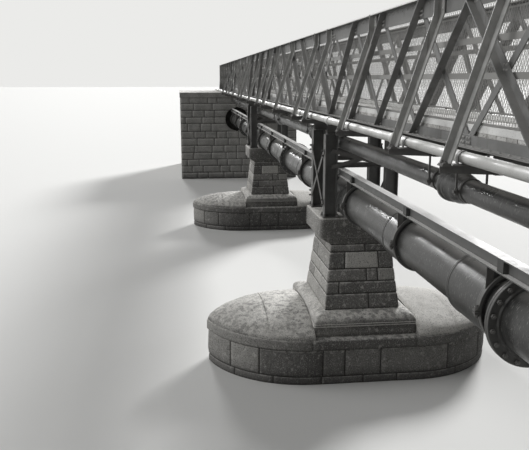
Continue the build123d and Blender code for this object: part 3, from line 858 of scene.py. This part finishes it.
def pier_plinth(pier_name, centre_x):
    """Plinth with two pale beads on its upright face and a round shoulder up to the shaft."""
    low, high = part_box(f"{pier_name}_plinth")
    half_x, half_y = half_size(f"{pier_name}_plinth")
    top_x, top_y = half_size(f"{pier_name}_shaft")
    face_z = low.z + 0.2
    bead = ((0.0, -0.007, 0.1), (0.006, -0.005, 1.0), (0.006, 0.005, 1.0), (0.0, 0.007, 0.1))
    levels = [(half_x, half_y, low.z, 0.1), (half_x, half_y, low.z + 0.07, 0.1)]
    for bead_z in (low.z + 0.156, face_z - 0.01):
        levels += [(half_x + out, half_y + out, bead_z + rise, tone) for out, rise, tone in bead]
    for i in range(10):
        turn = math.pi / 2 * i / 9
        drawn = 1 - math.cos(turn)
        shoulder_x = half_x + (top_x - half_x) * drawn + 0.001
        shoulder_y = half_y + (top_y - half_y) * drawn + 0.001
        levels.append((shoulder_x, shoulder_y, face_z + (high.z - 0.004 - face_z) * math.sin(turn), 0.2))
    plinth = moulded_block(f"{pier_name}_plinth_stone", levels, 0.03, centre_x)
    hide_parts(f"{pier_name}_plinth")


def pier_shaft(pier_name, seed, centre_x):
    """Coursed stones of one battered shaft."""
    low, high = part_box(f"{pier_name}_shaft")
    foot = half_size(f"{pier_name}_shaft")

    def ring_at(z):
        share = (z - low.z) / (high.z - low.z)
        return rectangle_ring(*(a + (b - a) * share for a, b in zip(foot, NECK_SIZE)), centre_x)

    foot_ring = rectangle_ring(*foot, centre_x)
    length, width = 2 * foot[0], 2 * foot[1]
    beds = (low.z, 1.275, 1.458, 1.650, 1.905, high.z)
    # Per course: joints of the near and far faces, tones of the near face's stones, joints of the sides
    courses = (
        ((0.11,), (None,), (0.2,)),
        ((-0.377,), (None,), (-0.3, 0.35)),
        ((0.098, 0.295), (None, 0.45), (0.1,)),
        ((-0.292, 0.335), (0.75, None), (-0.25,)),
        ((0.1,), (None,), (0.3,)),
    )
    pile = Pile()
    for i, (face_cuts, face_tones, side_cuts) in enumerate(courses):
        low_ring = ring_at(beds[i])
        scale = low_ring.length / foot_ring.length
        cuts = [((width + length + width / 2 + c) * scale, tone) for c, tone in zip(face_cuts, face_tones)]
        cuts += [((width / 2 + c) * scale, None) for c in face_cuts]
        for middle in (width + length / 2, 2 * width + 1.5 * length):
            cuts += [((middle + c) * scale, None) for c in side_cuts]
        course(pile, low_ring, ring_at(beds[i + 1]), beds[i], beds[i + 1], cuts, 0.007, seed + 10 + i)
    shaft = pile.make(f"{pier_name}_shaft_stones", finish_of("tooled_pier_gritstone"), smooth=True)


def pier_cap(pier_name, centre_x):
    """Cap that spreads from the neck in a bevel to an upright face with a worn arris."""
    low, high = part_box(f"{pier_name}_cap")
    half_x, half_y = half_size(f"{pier_name}_cap")
    neck_x, neck_y = NECK_SIZE
    bevel_z = high.z - 0.3
    levels = [(neck_x, neck_y, low.z, 0.0), (neck_x + 0.02, neck_y + 0.05, low.z + 0.025, 0.0)]
    for inset, z, tone in (
        (0.012, bevel_z - 0.012, 0.0), (0.003, bevel_z - 0.002, 0.3), (0.0, bevel_z + 0.008, 0.0),
        (0.0, bevel_z + 0.1, 0.0), (0.0, high.z - 0.1, 0.0), (0.0, high.z - 0.02, 0.05),
        (0.006, high.z - 0.005, 0.5), (0.02, high.z, 0.5),
    ):
        levels.append((half_x - inset, half_y - inset, z, tone))
    cap = moulded_block(f"{pier_name}_cap_stone", levels, 0.06, centre_x)
    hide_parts(f"{pier_name}_cap")


def wall_surface(origin, along, out, height, span=None, hole=None):
    """Flat upright wall from origin; s runs along it and v up it. A stone beside a hole ends at its rim."""

    def surface(s, v):
        z = v * height
        if hole is not None and abs(z - hole[1]) < hole[2]:
            centre, hole_z, radius = hole
            start, end = span
            chord = math.sqrt(radius**2 - (z - hole_z) ** 2)
            if start < centre < end + 0.001 and end > centre - chord:
                s = start + (s - start) * (centre - chord - start) / (end - start)
            elif start > centre - 0.001 and start < centre + chord:
                s = end - (end - s) * (end - centre - chord) / (end - start)
        return origin + along * s + Vector((0, 0, z)), out

    return surface


def course_cuts(rng, first, last):
    """Joints of one course between two ends, as a list of places along it."""
    cuts = [first]
    step = rng.uniform(0.2, 0.75)
    while last - cuts[-1] - step > 0.25:
        cuts.append(cuts[-1] + step)
        step = rng.uniform(0.42, 0.85)
    return cuts + [last]


def wall_stones(pile, origin, along, out, length, height, seed, hole=None):
    """Coursed stones on one flat wall, cut to a hole given as (s, z, radius)."""
    rng = Random(seed)
    z, count = 0.0, 0
    while z < height - 0.05:
        top = min(height, z + rng.uniform(0.26, 0.36))
        if height - top < 0.15:
            top = height
        if hole is not None and z < hole[1] + hole[2] and top > hole[1] - hole[2]:
            before = course_cuts(rng, 0.0, hole[0] - hole[2] - 0.1)[:-1]
            after = course_cuts(rng, hole[0] + hole[2] + 0.1, length)[1:]
            cuts = before + [hole[0]] + after
        else:
            cuts = course_cuts(rng, 0.0, length)
        for span in zip(cuts, cuts[1:]):
            surface = wall_surface(origin, along, out, height, span, hole)
            rise = (z / height, top / height)
            stone(pile, surface, span, rise, height, 0.010, seed * 1000 + count, spacing=0.07)
            count += 1
        z = top


def shown_faces(low, high, outward):
    """Front and sides of an abutment's block, each as its corner, the way along, the way out and a length."""
    front = Vector((low.x, high.y, low.z) if outward > 0 else (high.x, low.y, low.z))
    faces = [(front, Vector((0, -outward, 0)), Vector((-outward, 0, 0)), high.y - low.y)]
    for side in (-1, 1):
        corner = Vector((low.x if side < 0 else high.x, side * high.y, low.z))
        faces.append((corner, Vector((-side, 0, 0)), Vector((0, side, 0)), high.x - low.x))
    return faces


# Operators


class FOOTBRIDGE_OT_finish_frame(bpy.types.Operator):
    """Gives every part of the frame its weathered finish"""

    bl_idname = "footbridge.finish_frame"
    bl_label = "Finish the frame"

    def execute(self, context):
        slots = {row["node"]: row["material_slot"] for row in frame["record"]["subparts"]}
        for name, part in frame["nodes"].items():
            part.data.materials.clear()
            finish = "chalked_beam_iron" if name == "main_beam" else NODE_FINISHES[slots[name]]
            part.data.materials.append(finish_of(finish))
        return {"FINISHED"}


class FOOTBRIDGE_OT_rivets(bpy.types.Operator):
    """Sets the rivets of both trusses, and a painted highlight along the outer edges of their top plates"""

    bl_idname = "footbridge.rivets"
    bl_label = "Rivets"

    def execute(self, context):
        steel = context.scene.footbridge_steel
        head = rivet_head(steel.rivet_diameter)
        length = FAR_END_X - NEAR_END_X
        count = int(length / steel.rivet_pitch)
        panels = round(length / PANEL)
        slope = math.atan2(TOP_Z - SEAT_Z - 0.13, PANEL)
        crossing_z = (SEAT_Z + TOP_Z) / 2 - 0.02
        node_zs = (SEAT_Z + 0.03, SEAT_Z + 0.068, TOP_Z - 0.14, TOP_Z - 0.1)
        node_dxs = (-0.075, -0.035, 0.035, 0.075)
        flange_y, node_y, crossing_y = 0.522, PLATE_Y + 0.0095, PLATE_Y + 0.0098
        for side, name in ((1, "left"), (-1, "right")):
            pile = Pile()
            out = (0, side, 0)
            for i in range(count):
                x = NEAR_END_X + (i + 0.5) * length / count
                pile.place(head, facing((x, side * PLATE_Y, TOP_Z - 0.045), out))
                pile.place(head, facing((x, side * flange_y, SEAT_Z + 0.012), (0, 0, 1)))
            for i in range(panels + 1):
                x = NEAR_END_X + i * PANEL
                for z, dx in product(node_zs, node_dxs):
                    if NEAR_END_X < x + dx < FAR_END_X:
                        pile.place(head, facing((x + dx, side * node_y, z), out))
                if i < panels:
                    middle = Vector((x + PANEL / 2, side * crossing_y, crossing_z))
                    for turn, way in product((slope, math.pi - slope), (-1, 1)):
                        step = Vector((math.cos(turn), 0, math.sin(turn))) * 0.028
                        pile.place(head, facing(middle + step * way, out))
            rivets = pile.make(f"{name}_truss_rivets", finish_of("lead_painted_truss_iron"), smooth=True)
        # Thin pale strips on the outer edges of the top plates: a painted highlight where light catches the
        # edge
        edges = Pile()
        for side in (-1, 1):
            y0, y1 = sorted((side * (TOP_PLATE_Y + 0.0001), side * (TOP_PLATE_Y + 0.0013)))
            edges.add(*box(NEAR_END_X, FAR_END_X, y0, y1, TOP_Z - 0.0115, TOP_Z - 0.0005))
        edges.make("top_plate_painted_highlights", finish_of("bleached_plate_edge"))
        return {"FINISHED"}


def clip_run(ends):
    """The part of a slanting run that lies between the ends of the trusses."""
    points = []
    for (x, z), (other_x, other_z) in (ends, ends[::-1]):
        if not NEAR_END_X <= x <= FAR_END_X:
            limit = NEAR_END_X if x < NEAR_END_X else FAR_END_X
            if (other_x - limit) * (x - limit) >= 0:
                return None
            z = z + (other_z - z) * (limit - x) / (other_x - x)
            x = limit
        points.append((x, z))
    return points


class FOOTBRIDGE_OT_mesh_guards(bpy.types.Operator):
    """Hangs the diamond mesh on the walkway side of both trusses"""

    bl_idname = "footbridge.mesh_guards"
    bl_label = "Mesh guards"

    def execute(self, context):
        walk = context.scene.footbridge_walkway
        low_z, high_z = KERB_TOP_Z + 0.004, TOP_Z - 0.03
        lean = walk.mesh_pitch / walk.mesh_rise
        reach = (high_z - low_z) * lean
        count = int((FAR_END_X - NEAR_END_X + reach) / walk.mesh_pitch)
        back_y, middle_y, front_y = 0.4413, 0.4421, 0.4429
        for side, name in ((1, "left"), (-1, "right")):
            pile = Pile()
            out = (0, side, 0)
            for (way, y, start), i in product(((1, back_y, reach), (-1, front_y, 0.0)), range(count)):
                foot_x = NEAR_END_X - start + (i + 0.5) * walk.mesh_pitch
                ends = clip_run([(foot_x + way * (z - low_z) * lean, z) for z in (low_z, high_z)])
                if ends is not None:
                    foot, head = [(x, side * y, z) for x, z in ends]
                    verts, faces = bar(foot, head, walk.strand_width, 0.0014, out)
                    pile.add(verts, faces[:4])
            for z in (low_z + 0.008, high_z - 0.01):
                ends = [(x, side * middle_y, z) for x in (NEAR_END_X, FAR_END_X)]
                pile.add(*bar(*ends, 0.02, 0.003, out))
            guard = pile.make(f"{name}_mesh_guard", finish_of("lead_painted_rail_iron"))
        return {"FINISHED"}


class FOOTBRIDGE_OT_walkway(bpy.types.Operator):
    """Lays the cross boards and fixes the kerbs"""

    bl_idname = "footbridge.walkway"
    bl_label = "Walkway"

    def execute(self, context):
        walk = context.scene.footbridge_walkway
        rng = Random(5)
        length = DECK_HIGH.x - DECK_LOW.x
        count = round(length / (walk.board_width + walk.board_gap))
        pitch = length / count
        bevel = 0.006
        pile = Pile()
        for i in range(count):
            x0 = DECK_LOW.x + i * pitch + (walk.board_gap / 2 if i else 0.0)
            x1 = DECK_LOW.x + (i + 1) * pitch - (walk.board_gap / 2 if i < count - 1 else 0.0)
            y0 = DECK_LOW.y + rng.uniform(0.0, 0.006)
            top_z = DECK_HIGH.z - rng.uniform(0.0, 0.003)
            y1 = DECK_HIGH.y - rng.uniform(0.0, 0.006)
            ring = [
                (x0, DECK_LOW.z), (x1, DECK_LOW.z), (x1, top_z - bevel),
                (x1 - bevel, top_z), (x0 + bevel, top_z), (x0, top_z - bevel),
            ]
            verts = [(x, y, z) for y in (y0, y1) for x, z in ring]
            faces = [(k, 6 + k, 6 + (k + 1) % 6, (k + 1) % 6) for k in range(6)]
            faces += [tuple(range(6)), tuple(reversed(range(6, 12)))]
            pile.add(verts, faces, [rng.random()] * 12)
        boards = pile.make("cross_boards", finish_of("silvered_cross_boards"))
        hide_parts("deck")

        bolts = Pile()
        nut = hex_nut(0.024, 0.010, 0.008)
        first_x, spacing, kerb_y = NEAR_END_X + 0.3, PANEL / 2, 0.41
        for i, y in product(range(int((FAR_END_X - NEAR_END_X) / spacing)), (-kerb_y, kerb_y)):
            bolts.place(nut, facing((first_x + i * spacing, y, KERB_TOP_Z), (0, 0, 1)))
        coach = bolts.make("kerb_coach_bolts", finish_of("lead_painted_girder_iron"))
        return {"FINISHED"}


# Profiles turned for the pipes, as (place along the pipe, radius over the one given)
BEAD = ((0.05, 0.0), (0.056, 0.004), (0.085, 0.004), (0.093, 0.0))
LIP = ((-0.03, 0.0), (-0.026, 0.004), (-0.004, 0.004), (0.003, 0.0), (0.004, MAIN_RADIUS - SOCKET_RADIUS))
# Thin black band standing proud at the far end of each socket: painted shade for the dark gap of the joint
SHADOW_BAND = ((-0.043, 0.0), (-0.043, 0.0035), (-0.029, 0.0035), (-0.029, 0.0))
SERVICE_JOINT = ((-0.06, 0.0), (-0.06, 0.007), (-0.052, 0.01), (0.052, 0.01), (0.06, 0.007), (0.06, 0.0))
# The feed pipe's coupling, as (place along the pipe, radius)
COUPLING = (
    (0.0, FEED_RADIUS), (0.0, 0.109), (0.003, 0.112), (0.03, 0.113), (0.06, 0.12), (0.1, 0.132),
    (0.15, 0.139), (0.27, 0.142), (0.275, 0.147), (0.29, 0.149), (0.305, 0.147), (0.31, 0.143),
    (0.345, 0.144), (0.35, 0.152), (0.355, 0.155), (0.395, 0.156), (COUPLING_LENGTH, 0.152),
    (COUPLING_LENGTH, 0.118), (0.39, 0.112), (0.39, FEED_RADIUS),
)


class FOOTBRIDGE_OT_main_fittings(bpy.types.Operator):
    """Adds the clamps, lips and bolted flanges of the water main"""

    bl_idname = "footbridge.main_fittings"
    bl_label = "Main fittings"

    def execute(self, context):
        black = finish_of("tar_blacked_iron")
        radius = SOCKET_RADIUS
        lips, clamps, lugs = Pile(), Pile(), Pile()
        nut = hex_nut(0.036, 0.022, 0.014)
        under_z = BEAM_LOW.z - 0.001
        lug_ys = (0.19, 0.22, 0.25, 0.28, 0.305)
        seat = [(y, MAIN_Z + math.sqrt(radius**2 - (y - MAIN_Y) ** 2)) for y in lug_ys]
        for x, length in SOCKETS:
            spot = Matrix.Translation((x, MAIN_Y, MAIN_Z))
            lips.place(turned(BEAD, 72, 0.0, radius), spot)
            lips.place(turned(LIP, 72, length, radius), spot)
            clamps.place(turned(SHADOW_BAND, 72, length, radius), spot)
            for thickness, first in ((0.026, 0), (0.009, 180)):
                strap = arc_band(-0.02, 0.03, radius + 0.0005, radius + thickness, first, first + 180, 48)
                clamps.place(strap, spot)
            for side in (-1, 1):
                for z in (-0.012, 0.012):
                    ends = [(x + 0.005, MAIN_Y + side * (radius + y), MAIN_Z + z) for y in (0.004, 0.055)]
                    clamps.add(*bar(*ends, 0.05, 0.014, (0, 0, 1)))
                for way in (1, -1):
                    lug = (x + 0.005, MAIN_Y + side * (radius + 0.03), MAIN_Z + way * 0.018)
                    clamps.place(nut, facing(lug, (0, 0, way)))
            lugs.add(*prism(seat + [(lug_ys[-1], under_z), (lug_ys[0], under_z)], x + 0.012, x + 0.15))
            y0, y1 = BEAM_HIGH.y - 0.045, BEAM_HIGH.y - 0.004
            lugs.add(*box(x - 0.26, x - 0.16, y0, y1, BEAM_LOW.z + 0.011, BEAM_HIGH.z - 0.011))
        lips.make("main_socket_lips", finish_of("tar_dipped_cast_iron"), smooth=True)

        flanges, studs = Pile(), Pile()
        nut = hex_nut(0.034, 0.02, 0.012)
        radius = context.scene.footbridge_pipes.flange_radius
        rim = [(-0.012, MAIN_RADIUS), (-0.012, 0.286), (-0.004, 0.294), (0.0, 0.298), (0.0, radius - 0.004)]
        rim += [(0.004, radius), (0.027, radius), (0.029, radius - 0.005), (0.031, radius - 0.005)]
        rim += [(0.033, radius), (0.056, radius), (0.06, radius - 0.004), (0.06, 0.298), (0.072, 0.286)]
        rim.append((0.072, MAIN_RADIUS))
        bolts, depth = 18, 0.06
        bolt_circle = radius - 0.034
        for x in FLANGE_XS:
            flanges.place(turned(rim, 80), Matrix.Translation((x, MAIN_Y, MAIN_Z)))
            for i in range(bolts):
                angle = 2 * math.pi * (i + 0.5) / bolts
                y, z = MAIN_Y + bolt_circle * math.cos(angle), MAIN_Z + bolt_circle * math.sin(angle)
                studs.place(nut, facing((x, y, z), (-1, 0, 0)))
                studs.place(nut, facing((x + depth, y, z), (1, 0, 0)))
        flanges.make("main_flanges", black)
        studs.make("main_flange_bolts", black)
        lugs.make("main_cast_lugs", black)
        clamps.make("main_clamps", black)
        return {"FINISHED"}


def clip_over_pipe(x):
    """Strap over the service pipe, from one side of the arm to the other."""
    half_width = 0.0225
    angles = [math.pi * i / 16 for i in range(17)]
    verts = []
    for radius in (SERVICE_RADIUS, SERVICE_RADIUS + 0.005):
        ring = [(SERVICE_Y + radius, ARM_Z)]
        ring += [(SERVICE_Y + radius * math.cos(a), SERVICE_Z + radius * math.sin(a)) for a in angles]
        ring.append((SERVICE_Y - radius, ARM_Z))
        for dx in (-half_width, half_width):
            verts += [(x + dx, y, z) for y, z in ring]
    count = len(ring)
    faces = []
    for a, b in ((0, 1), (1, 3), (3, 2), (2, 0)):
        for i in range(count - 1):
            faces.append((a * count + i, b * count + i, b * count + i + 1, a * count + i + 1))
    return verts, faces


class FOOTBRIDGE_OT_small_pipe_fittings(bpy.types.Operator):
    """Adds the rims and clamps of the feed pipe and the joints and clips of the service pipe"""

    bl_idname = "footbridge.small_pipe_fittings"
    bl_label = "Small pipe fittings"

    def execute(self, context):
        black = finish_of("tar_blacked_iron")
        bodies, clamps = Pile(), Pile()
        for x in COUPLING_XS:
            bodies.place(turned(COUPLING, 64), Matrix.Translation((x, FEED_Y, FEED_Z)))
        joints = bodies.make("feed_coupling_bodies", finish_of("tar_dipped_cast_iron"), smooth=True)
        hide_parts("feed_couplings")

        nut = hex_nut(0.03, 0.018, 0.012)
        strap = arc_band(-0.022, 0.022, FEED_RADIUS + 0.0005, FEED_RADIUS + 0.013, 5, 175, 32)
        rod_y, half_lug = 0.135, 0.012
        for x in HANGER_XS:
            clamps.place(strap, Matrix.Translation((x, FEED_Y, FEED_Z)))
            for side, way in product((-1, 1), (1, -1)):
                spot = (x, FEED_Y + side * rod_y, FEED_Z + way * half_lug)
                clamps.place(nut, facing(spot, (0, 0, way)))
        clamps.make("feed_clamps", black)

        joints, clips = Pile(), Pile()
        shape = turned(SERVICE_JOINT, 32, 0.0, SERVICE_RADIUS)
        first_x, pitch = NEAR_END_X + 1.35, 2.9
        for i in range(int((FAR_END_X - 0.2 - first_x) / pitch) + 1):
            joints.place(shape, Matrix.Translation((first_x + i * pitch, SERVICE_Y, SERVICE_Z)))
        white = finish_of("white_oil_painted_pipe")
        joints.make("service_pipe_joints", white, smooth=True)
        for x in OUTRIGGER_XS:
            clips.add(*clip_over_pipe(x + 0.05))
        clips.make("service_pipe_clips", black)
        return {"FINISHED"}


class FOOTBRIDGE_OT_outriggers(bpy.types.Operator):
    """Builds the raking outriggers as rolled angles, each with one leg square to the bridge"""

    bl_idname = "footbridge.outriggers"
    bl_label = "Outriggers"

    def execute(self, context):
        thickness, half_width, leg = 0.01, 0.045, 0.06
        foot_y, knee_y, knee_z = ARM_TIP_Y - 0.01, 0.555, TOP_Z - 0.17
        chord_y, under_top_z = PLATE_Y + 0.008, TOP_Z - 0.014
        lip_y = knee_y - 0.008
        outer = [(foot_y, ARM_Z), (knee_y, knee_z), (knee_y, TOP_Z), (lip_y, TOP_Z), (lip_y, under_top_z)]
        inner = [(chord_y, under_top_z), (chord_y, knee_z), (foot_y - leg, ARM_Z)]
        strip = [(y + thickness, z) for y, z in inner[::-1]] + inner
        head = rivet_head(0.03)
        for side, name in ((1, "left"), (-1, "right")):
            pile = Pile()
            for x in OUTRIGGER_XS:
                inside = x + half_width - thickness
                for outline, x0, x1 in (
                    (outer + inner, inside, x + half_width), (strip, x - half_width + 0.01, inside),
                ):
                    flat = [(side * y, z) for y, z in outline]
                    pile.add(*prism(flat[::side], x0, x1))
                for z in (TOP_Z - 0.05, TOP_Z - 0.13):
                    pile.place(head, facing((x - 0.005, side * (chord_y + thickness), z), (0, side, 0)))
            angles = pile.make(f"{name}_outrigger_angles", finish_of("chalked_outrigger_iron"))
            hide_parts(f"{name}_outriggers")
        return {"FINISHED"}


class FOOTBRIDGE_OT_trestle_fittings(bpy.types.Operator):
    """Adds the bolts of the trestles, and the feet and bolts of the outriggers"""

    bl_idname = "footbridge.trestle_fittings"
    bl_label = "Trestle fittings"

    def execute(self, context):
        nut = hex_nut(0.038, 0.024, 0.02)
        small = hex_nut(0.03, 0.018, 0.012)
        up, sides = (0, 0, 1), (-1, 1)
        base_bolt, base_plate, crosshead_plate = 0.098, 0.02, 0.01
        brace_bolt_zs = (3.44, 2.62, 3.37, 2.70)
        pile = Pile()
        for pier_x, sx, sy in product(PIER_XS, sides, sides):
            x, y = pier_x + sx * COLUMN_X, sy * COLUMN_Y
            for dx, dy in product((-base_bolt, base_bolt), (-base_bolt, base_bolt)):
                pile.place(nut, facing((x + dx, y + dy, CAP_TOP_Z + base_plate), up))
            for dx, dy in product((-0.045, 0.045), (-0.07, 0.07)):
                pile.place(small, facing((x + dx, y + dy, GIRDER_LOW.z + crosshead_plate), up))
            for z in brace_bolt_zs:
                pile.place(small, facing((x, y + sy * (COLUMN_DEPTH / 2 + 0.02), z), (0, sy, 0)))
        for x, side in product(OUTRIGGER_XS, sides):
            for dx in (-0.028, 0.028):
                pile.place(small, facing((x + dx, side * (ARM_TIP_Y - 0.028), ARM_Z), up))
            ends = [(x, side * (ARM_TIP_Y - inset), ARM_Z + 0.004) for inset in (0.065, 0.005)]
            pile.add(*bar(*ends, 0.09, 0.008, up))
        bolts = pile.make("trestle_bolts", finish_of("lead_painted_girder_iron"))
        return {"FINISHED"}


class FOOTBRIDGE_OT_piers(bpy.types.Operator):
    """Builds the stones of both piers"""

    bl_idname = "footbridge.piers"
    bl_label = "Piers"

    def execute(self, context):
        for i, pier_name in enumerate(("near_pier", "far_pier")):
            low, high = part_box(f"{pier_name}_cap")
            centre_x = (low.x + high.x) / 2
            pier_base(pier_name, 20 + 40 * i)
            pier_plinth(pier_name, centre_x)
            pier_shaft(pier_name, 40 + 40 * i, centre_x)
            pier_cap(pier_name, centre_x)
        return {"FINISHED"}


class FOOTBRIDGE_OT_abutments(bpy.types.Operator):
    """Builds the coursed stones of both abutments, apart from their backs, which the banks would hide"""

    bl_idname = "footbridge.abutments"
    bl_label = "Abutments"

    def execute(self, context):
        finish = finish_of("coursed_abutment_stone")
        for name, outward, seed in (("near_abutment", -1, 3), ("far_abutment", 1, 8)):
            low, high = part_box(name)
            faces = shown_faces(low, high, outward)
            recess = (abs(MAIN_Y - faces[0][0].y), MAIN_Z - low.z, RECESS_RADIUS)
            pile = Pile()
            for face, shift, hole in zip(faces, (0, 39, 41), (recess, None, None)):
                wall_stones(pile, *face, high.z - low.z, seed + shift, hole)
            stones = pile.make(f"{name}_stones", finish, smooth=True)

            # With this inset the stones lie inside the solid coping, whose plain faces are what shows
            low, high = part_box(f"{name}_coping")
            rise = high.z - low.z
            inset, stone_length = 0.012, 0.95
            pile = Pile()
            for i, (start, along, out, length) in enumerate(shown_faces(low, high, outward)):
                count = max(1, round(length / stone_length))
                surface = wall_surface(start - out * inset, along, out, rise)
                for k in range(count):
                    span = (length * k / count, length * (k + 1) / count)
                    stone(pile, surface, span, (0.0, 1.0), rise, 0.003, seed * 70 + 10 * i + k, spacing=0.08)
            kerbstones = pile.make(f"{name}_coping_stones", finish, smooth=True)
            coping = frame["nodes"][f"{name}_coping"]
            coping.data.materials.clear()
            coping.data.materials.append(finish)
        return {"FINISHED"}


def seen_directly(tree):
    """1 for what the eye, a gloss or a glass sees, 0 for the light that a surface scatters on."""
    path = node(tree, "ShaderNodeLightPath")
    seen = path.outputs["Is Camera Ray"]
    for ray in ("Is Glossy Ray", "Is Transmission Ray"):
        seen = calculate(tree, "MAXIMUM", seen, path.outputs[ray])
    return seen


def add_sun(name, strength, spread, heading):
    """Soft lamp whose light travels along heading."""
    data = bpy.data.lights.new(name, "SUN")
    data.energy = strength
    data.angle = math.radians(spread)
    sun = bpy.data.objects.new(name, data)
    sun.rotation_mode = "QUATERNION"
    sun.rotation_quaternion = Vector(heading).to_track_quat("-Z", "Y")
    bpy.context.scene.collection.objects.link(sun)


class FOOTBRIDGE_OT_stage(bpy.types.Operator):
    """Sets the floor, the soft light and the photographed view"""

    bl_idname = "footbridge.stage"
    bl_label = "Stage"

    def execute(self, context):
        scene = context.scene
        settings = scene.footbridge_stage
        material, tree, shader, _ = start_material("pale_studio_floor")
        shown = mix(tree, seen_directly(tree), linear("#5c5c5a"), linear(settings.floor_colour))
        fill(tree, shader.inputs["Base Color"], shown)
        fill(tree, shader.inputs["Roughness"], 0.9)
        reach = 400.0
        corners = [(-reach, -reach, 0), (reach, -reach, 0), (reach, reach, 0), (-reach, reach, 0)]
        mesh = bpy.data.meshes.new("studio_floor")
        mesh.from_pydata(corners, [], [(0, 1, 2, 3)])
        mesh.materials.append(material)
        floor = bpy.data.objects.new("studio_floor", mesh)
        floor.location.z = -0.002
        scene.collection.objects.link(floor)

        world = bpy.data.worlds.new("studio_sky")
        scene.world = world
        world.use_nodes = True
        tree = world.node_tree
        tree.nodes.clear()
        light = node(tree, "ShaderNodeBackground", {"Color": (1, 1, 1, 1), "Strength": settings.sky_strength})
        backdrop = node(tree, "ShaderNodeBackground", {"Color": linear("#ebebe9"), "Strength": 1.0})
        parts = {0: seen_directly(tree), 1: light.outputs[0], 2: backdrop.outputs[0]}
        shade = node(tree, "ShaderNodeMixShader", parts)
        node(tree, "ShaderNodeOutputWorld", {"Surface": shade.outputs[0]})

        low_light_strength = 1.3
        add_sun("high_soft_sun", settings.sun_strength, 14, (-0.77, 0.48, -0.42))
        add_sun("broad_left_fill", settings.fill_strength, 60, (-0.08, -0.86, -0.5))
        add_sun("low_light_ahead", low_light_strength, 9, (-0.955, -0.1, -0.28))

        camera_data = bpy.data.cameras.new("photographed_view")
        camera_data.sensor_width = SENSOR_WIDTH
        camera_data.lens = FOCAL_PIXELS / FRAME_WIDTH * SENSOR_WIDTH
        camera_data.clip_start = 0.1
        camera_data.clip_end = 900
        camera = bpy.data.objects.new("photographed_view", camera_data)
        camera.location = EYE
        level = math.cos(LOOK_DOWN)
        ahead = (level * math.cos(LOOK_RIGHT), -level * math.sin(LOOK_RIGHT), -math.sin(LOOK_DOWN))
        camera.rotation_mode = "QUATERNION"
        camera.rotation_quaternion = Vector(ahead).to_track_quat("-Z", "Y")
        scene.collection.objects.link(camera)
        scene.camera = camera
        scene.view_settings.view_transform = "Standard"
        return {"FINISHED"}


class FOOTBRIDGE_PT_panel(bpy.types.Panel):
    """Lists the steps that dress the footbridge"""

    bl_label = "Footbridge"
    bl_idname = "FOOTBRIDGE_PT_panel"
    bl_space_type = "VIEW_3D"
    bl_region_type = "UI"
    bl_category = "Footbridge"

    def draw(self, context):
        for operator in OPERATORS:
            self.layout.operator(operator.bl_idname)
        for group in PROPERTIES:
            settings = getattr(context.scene, group)
            for name in settings.__annotations__:
                self.layout.prop(settings, name)


PROPERTIES = {
    "footbridge_steel": SteelProperties,
    "footbridge_walkway": WalkwayProperties,
    "footbridge_pipes": PipeProperties,
    "footbridge_stone": StoneProperties,
    "footbridge_stage": StageProperties,
}
OPERATORS = (
    FOOTBRIDGE_OT_stage,
    FOOTBRIDGE_OT_finish_frame,
    FOOTBRIDGE_OT_rivets,
    FOOTBRIDGE_OT_mesh_guards,
    FOOTBRIDGE_OT_walkway,
    FOOTBRIDGE_OT_main_fittings,
    FOOTBRIDGE_OT_small_pipe_fittings,
    FOOTBRIDGE_OT_outriggers,
    FOOTBRIDGE_OT_trestle_fittings,
    FOOTBRIDGE_OT_piers,
    FOOTBRIDGE_OT_abutments,
)


def register():
    for name, group in PROPERTIES.items():
        bpy.utils.register_class(group)
        setattr(bpy.types.Scene, name, bpy.props.PointerProperty(type=group))
    for made in (*OPERATORS, FOOTBRIDGE_PT_panel):
        bpy.utils.register_class(made)


def unregister():
    for made in reversed((*OPERATORS, FOOTBRIDGE_PT_panel)):
        bpy.utils.unregister_class(made)
    for name, group in PROPERTIES.items():
        delattr(bpy.types.Scene, name)
        bpy.utils.unregister_class(group)


def main():
    """Registers the classes and dresses the bridge."""
    register()
    bpy.ops.footbridge.stage()
    bpy.ops.footbridge.finish_frame()
    bpy.ops.footbridge.rivets()
    bpy.ops.footbridge.mesh_guards()
    bpy.ops.footbridge.walkway()
    bpy.ops.footbridge.main_fittings()
    bpy.ops.footbridge.small_pipe_fittings()
    bpy.ops.footbridge.outriggers()
    bpy.ops.footbridge.trestle_fittings()
    bpy.ops.footbridge.piers()
    bpy.ops.footbridge.abutments()


if __name__ == "__main__":
    main()
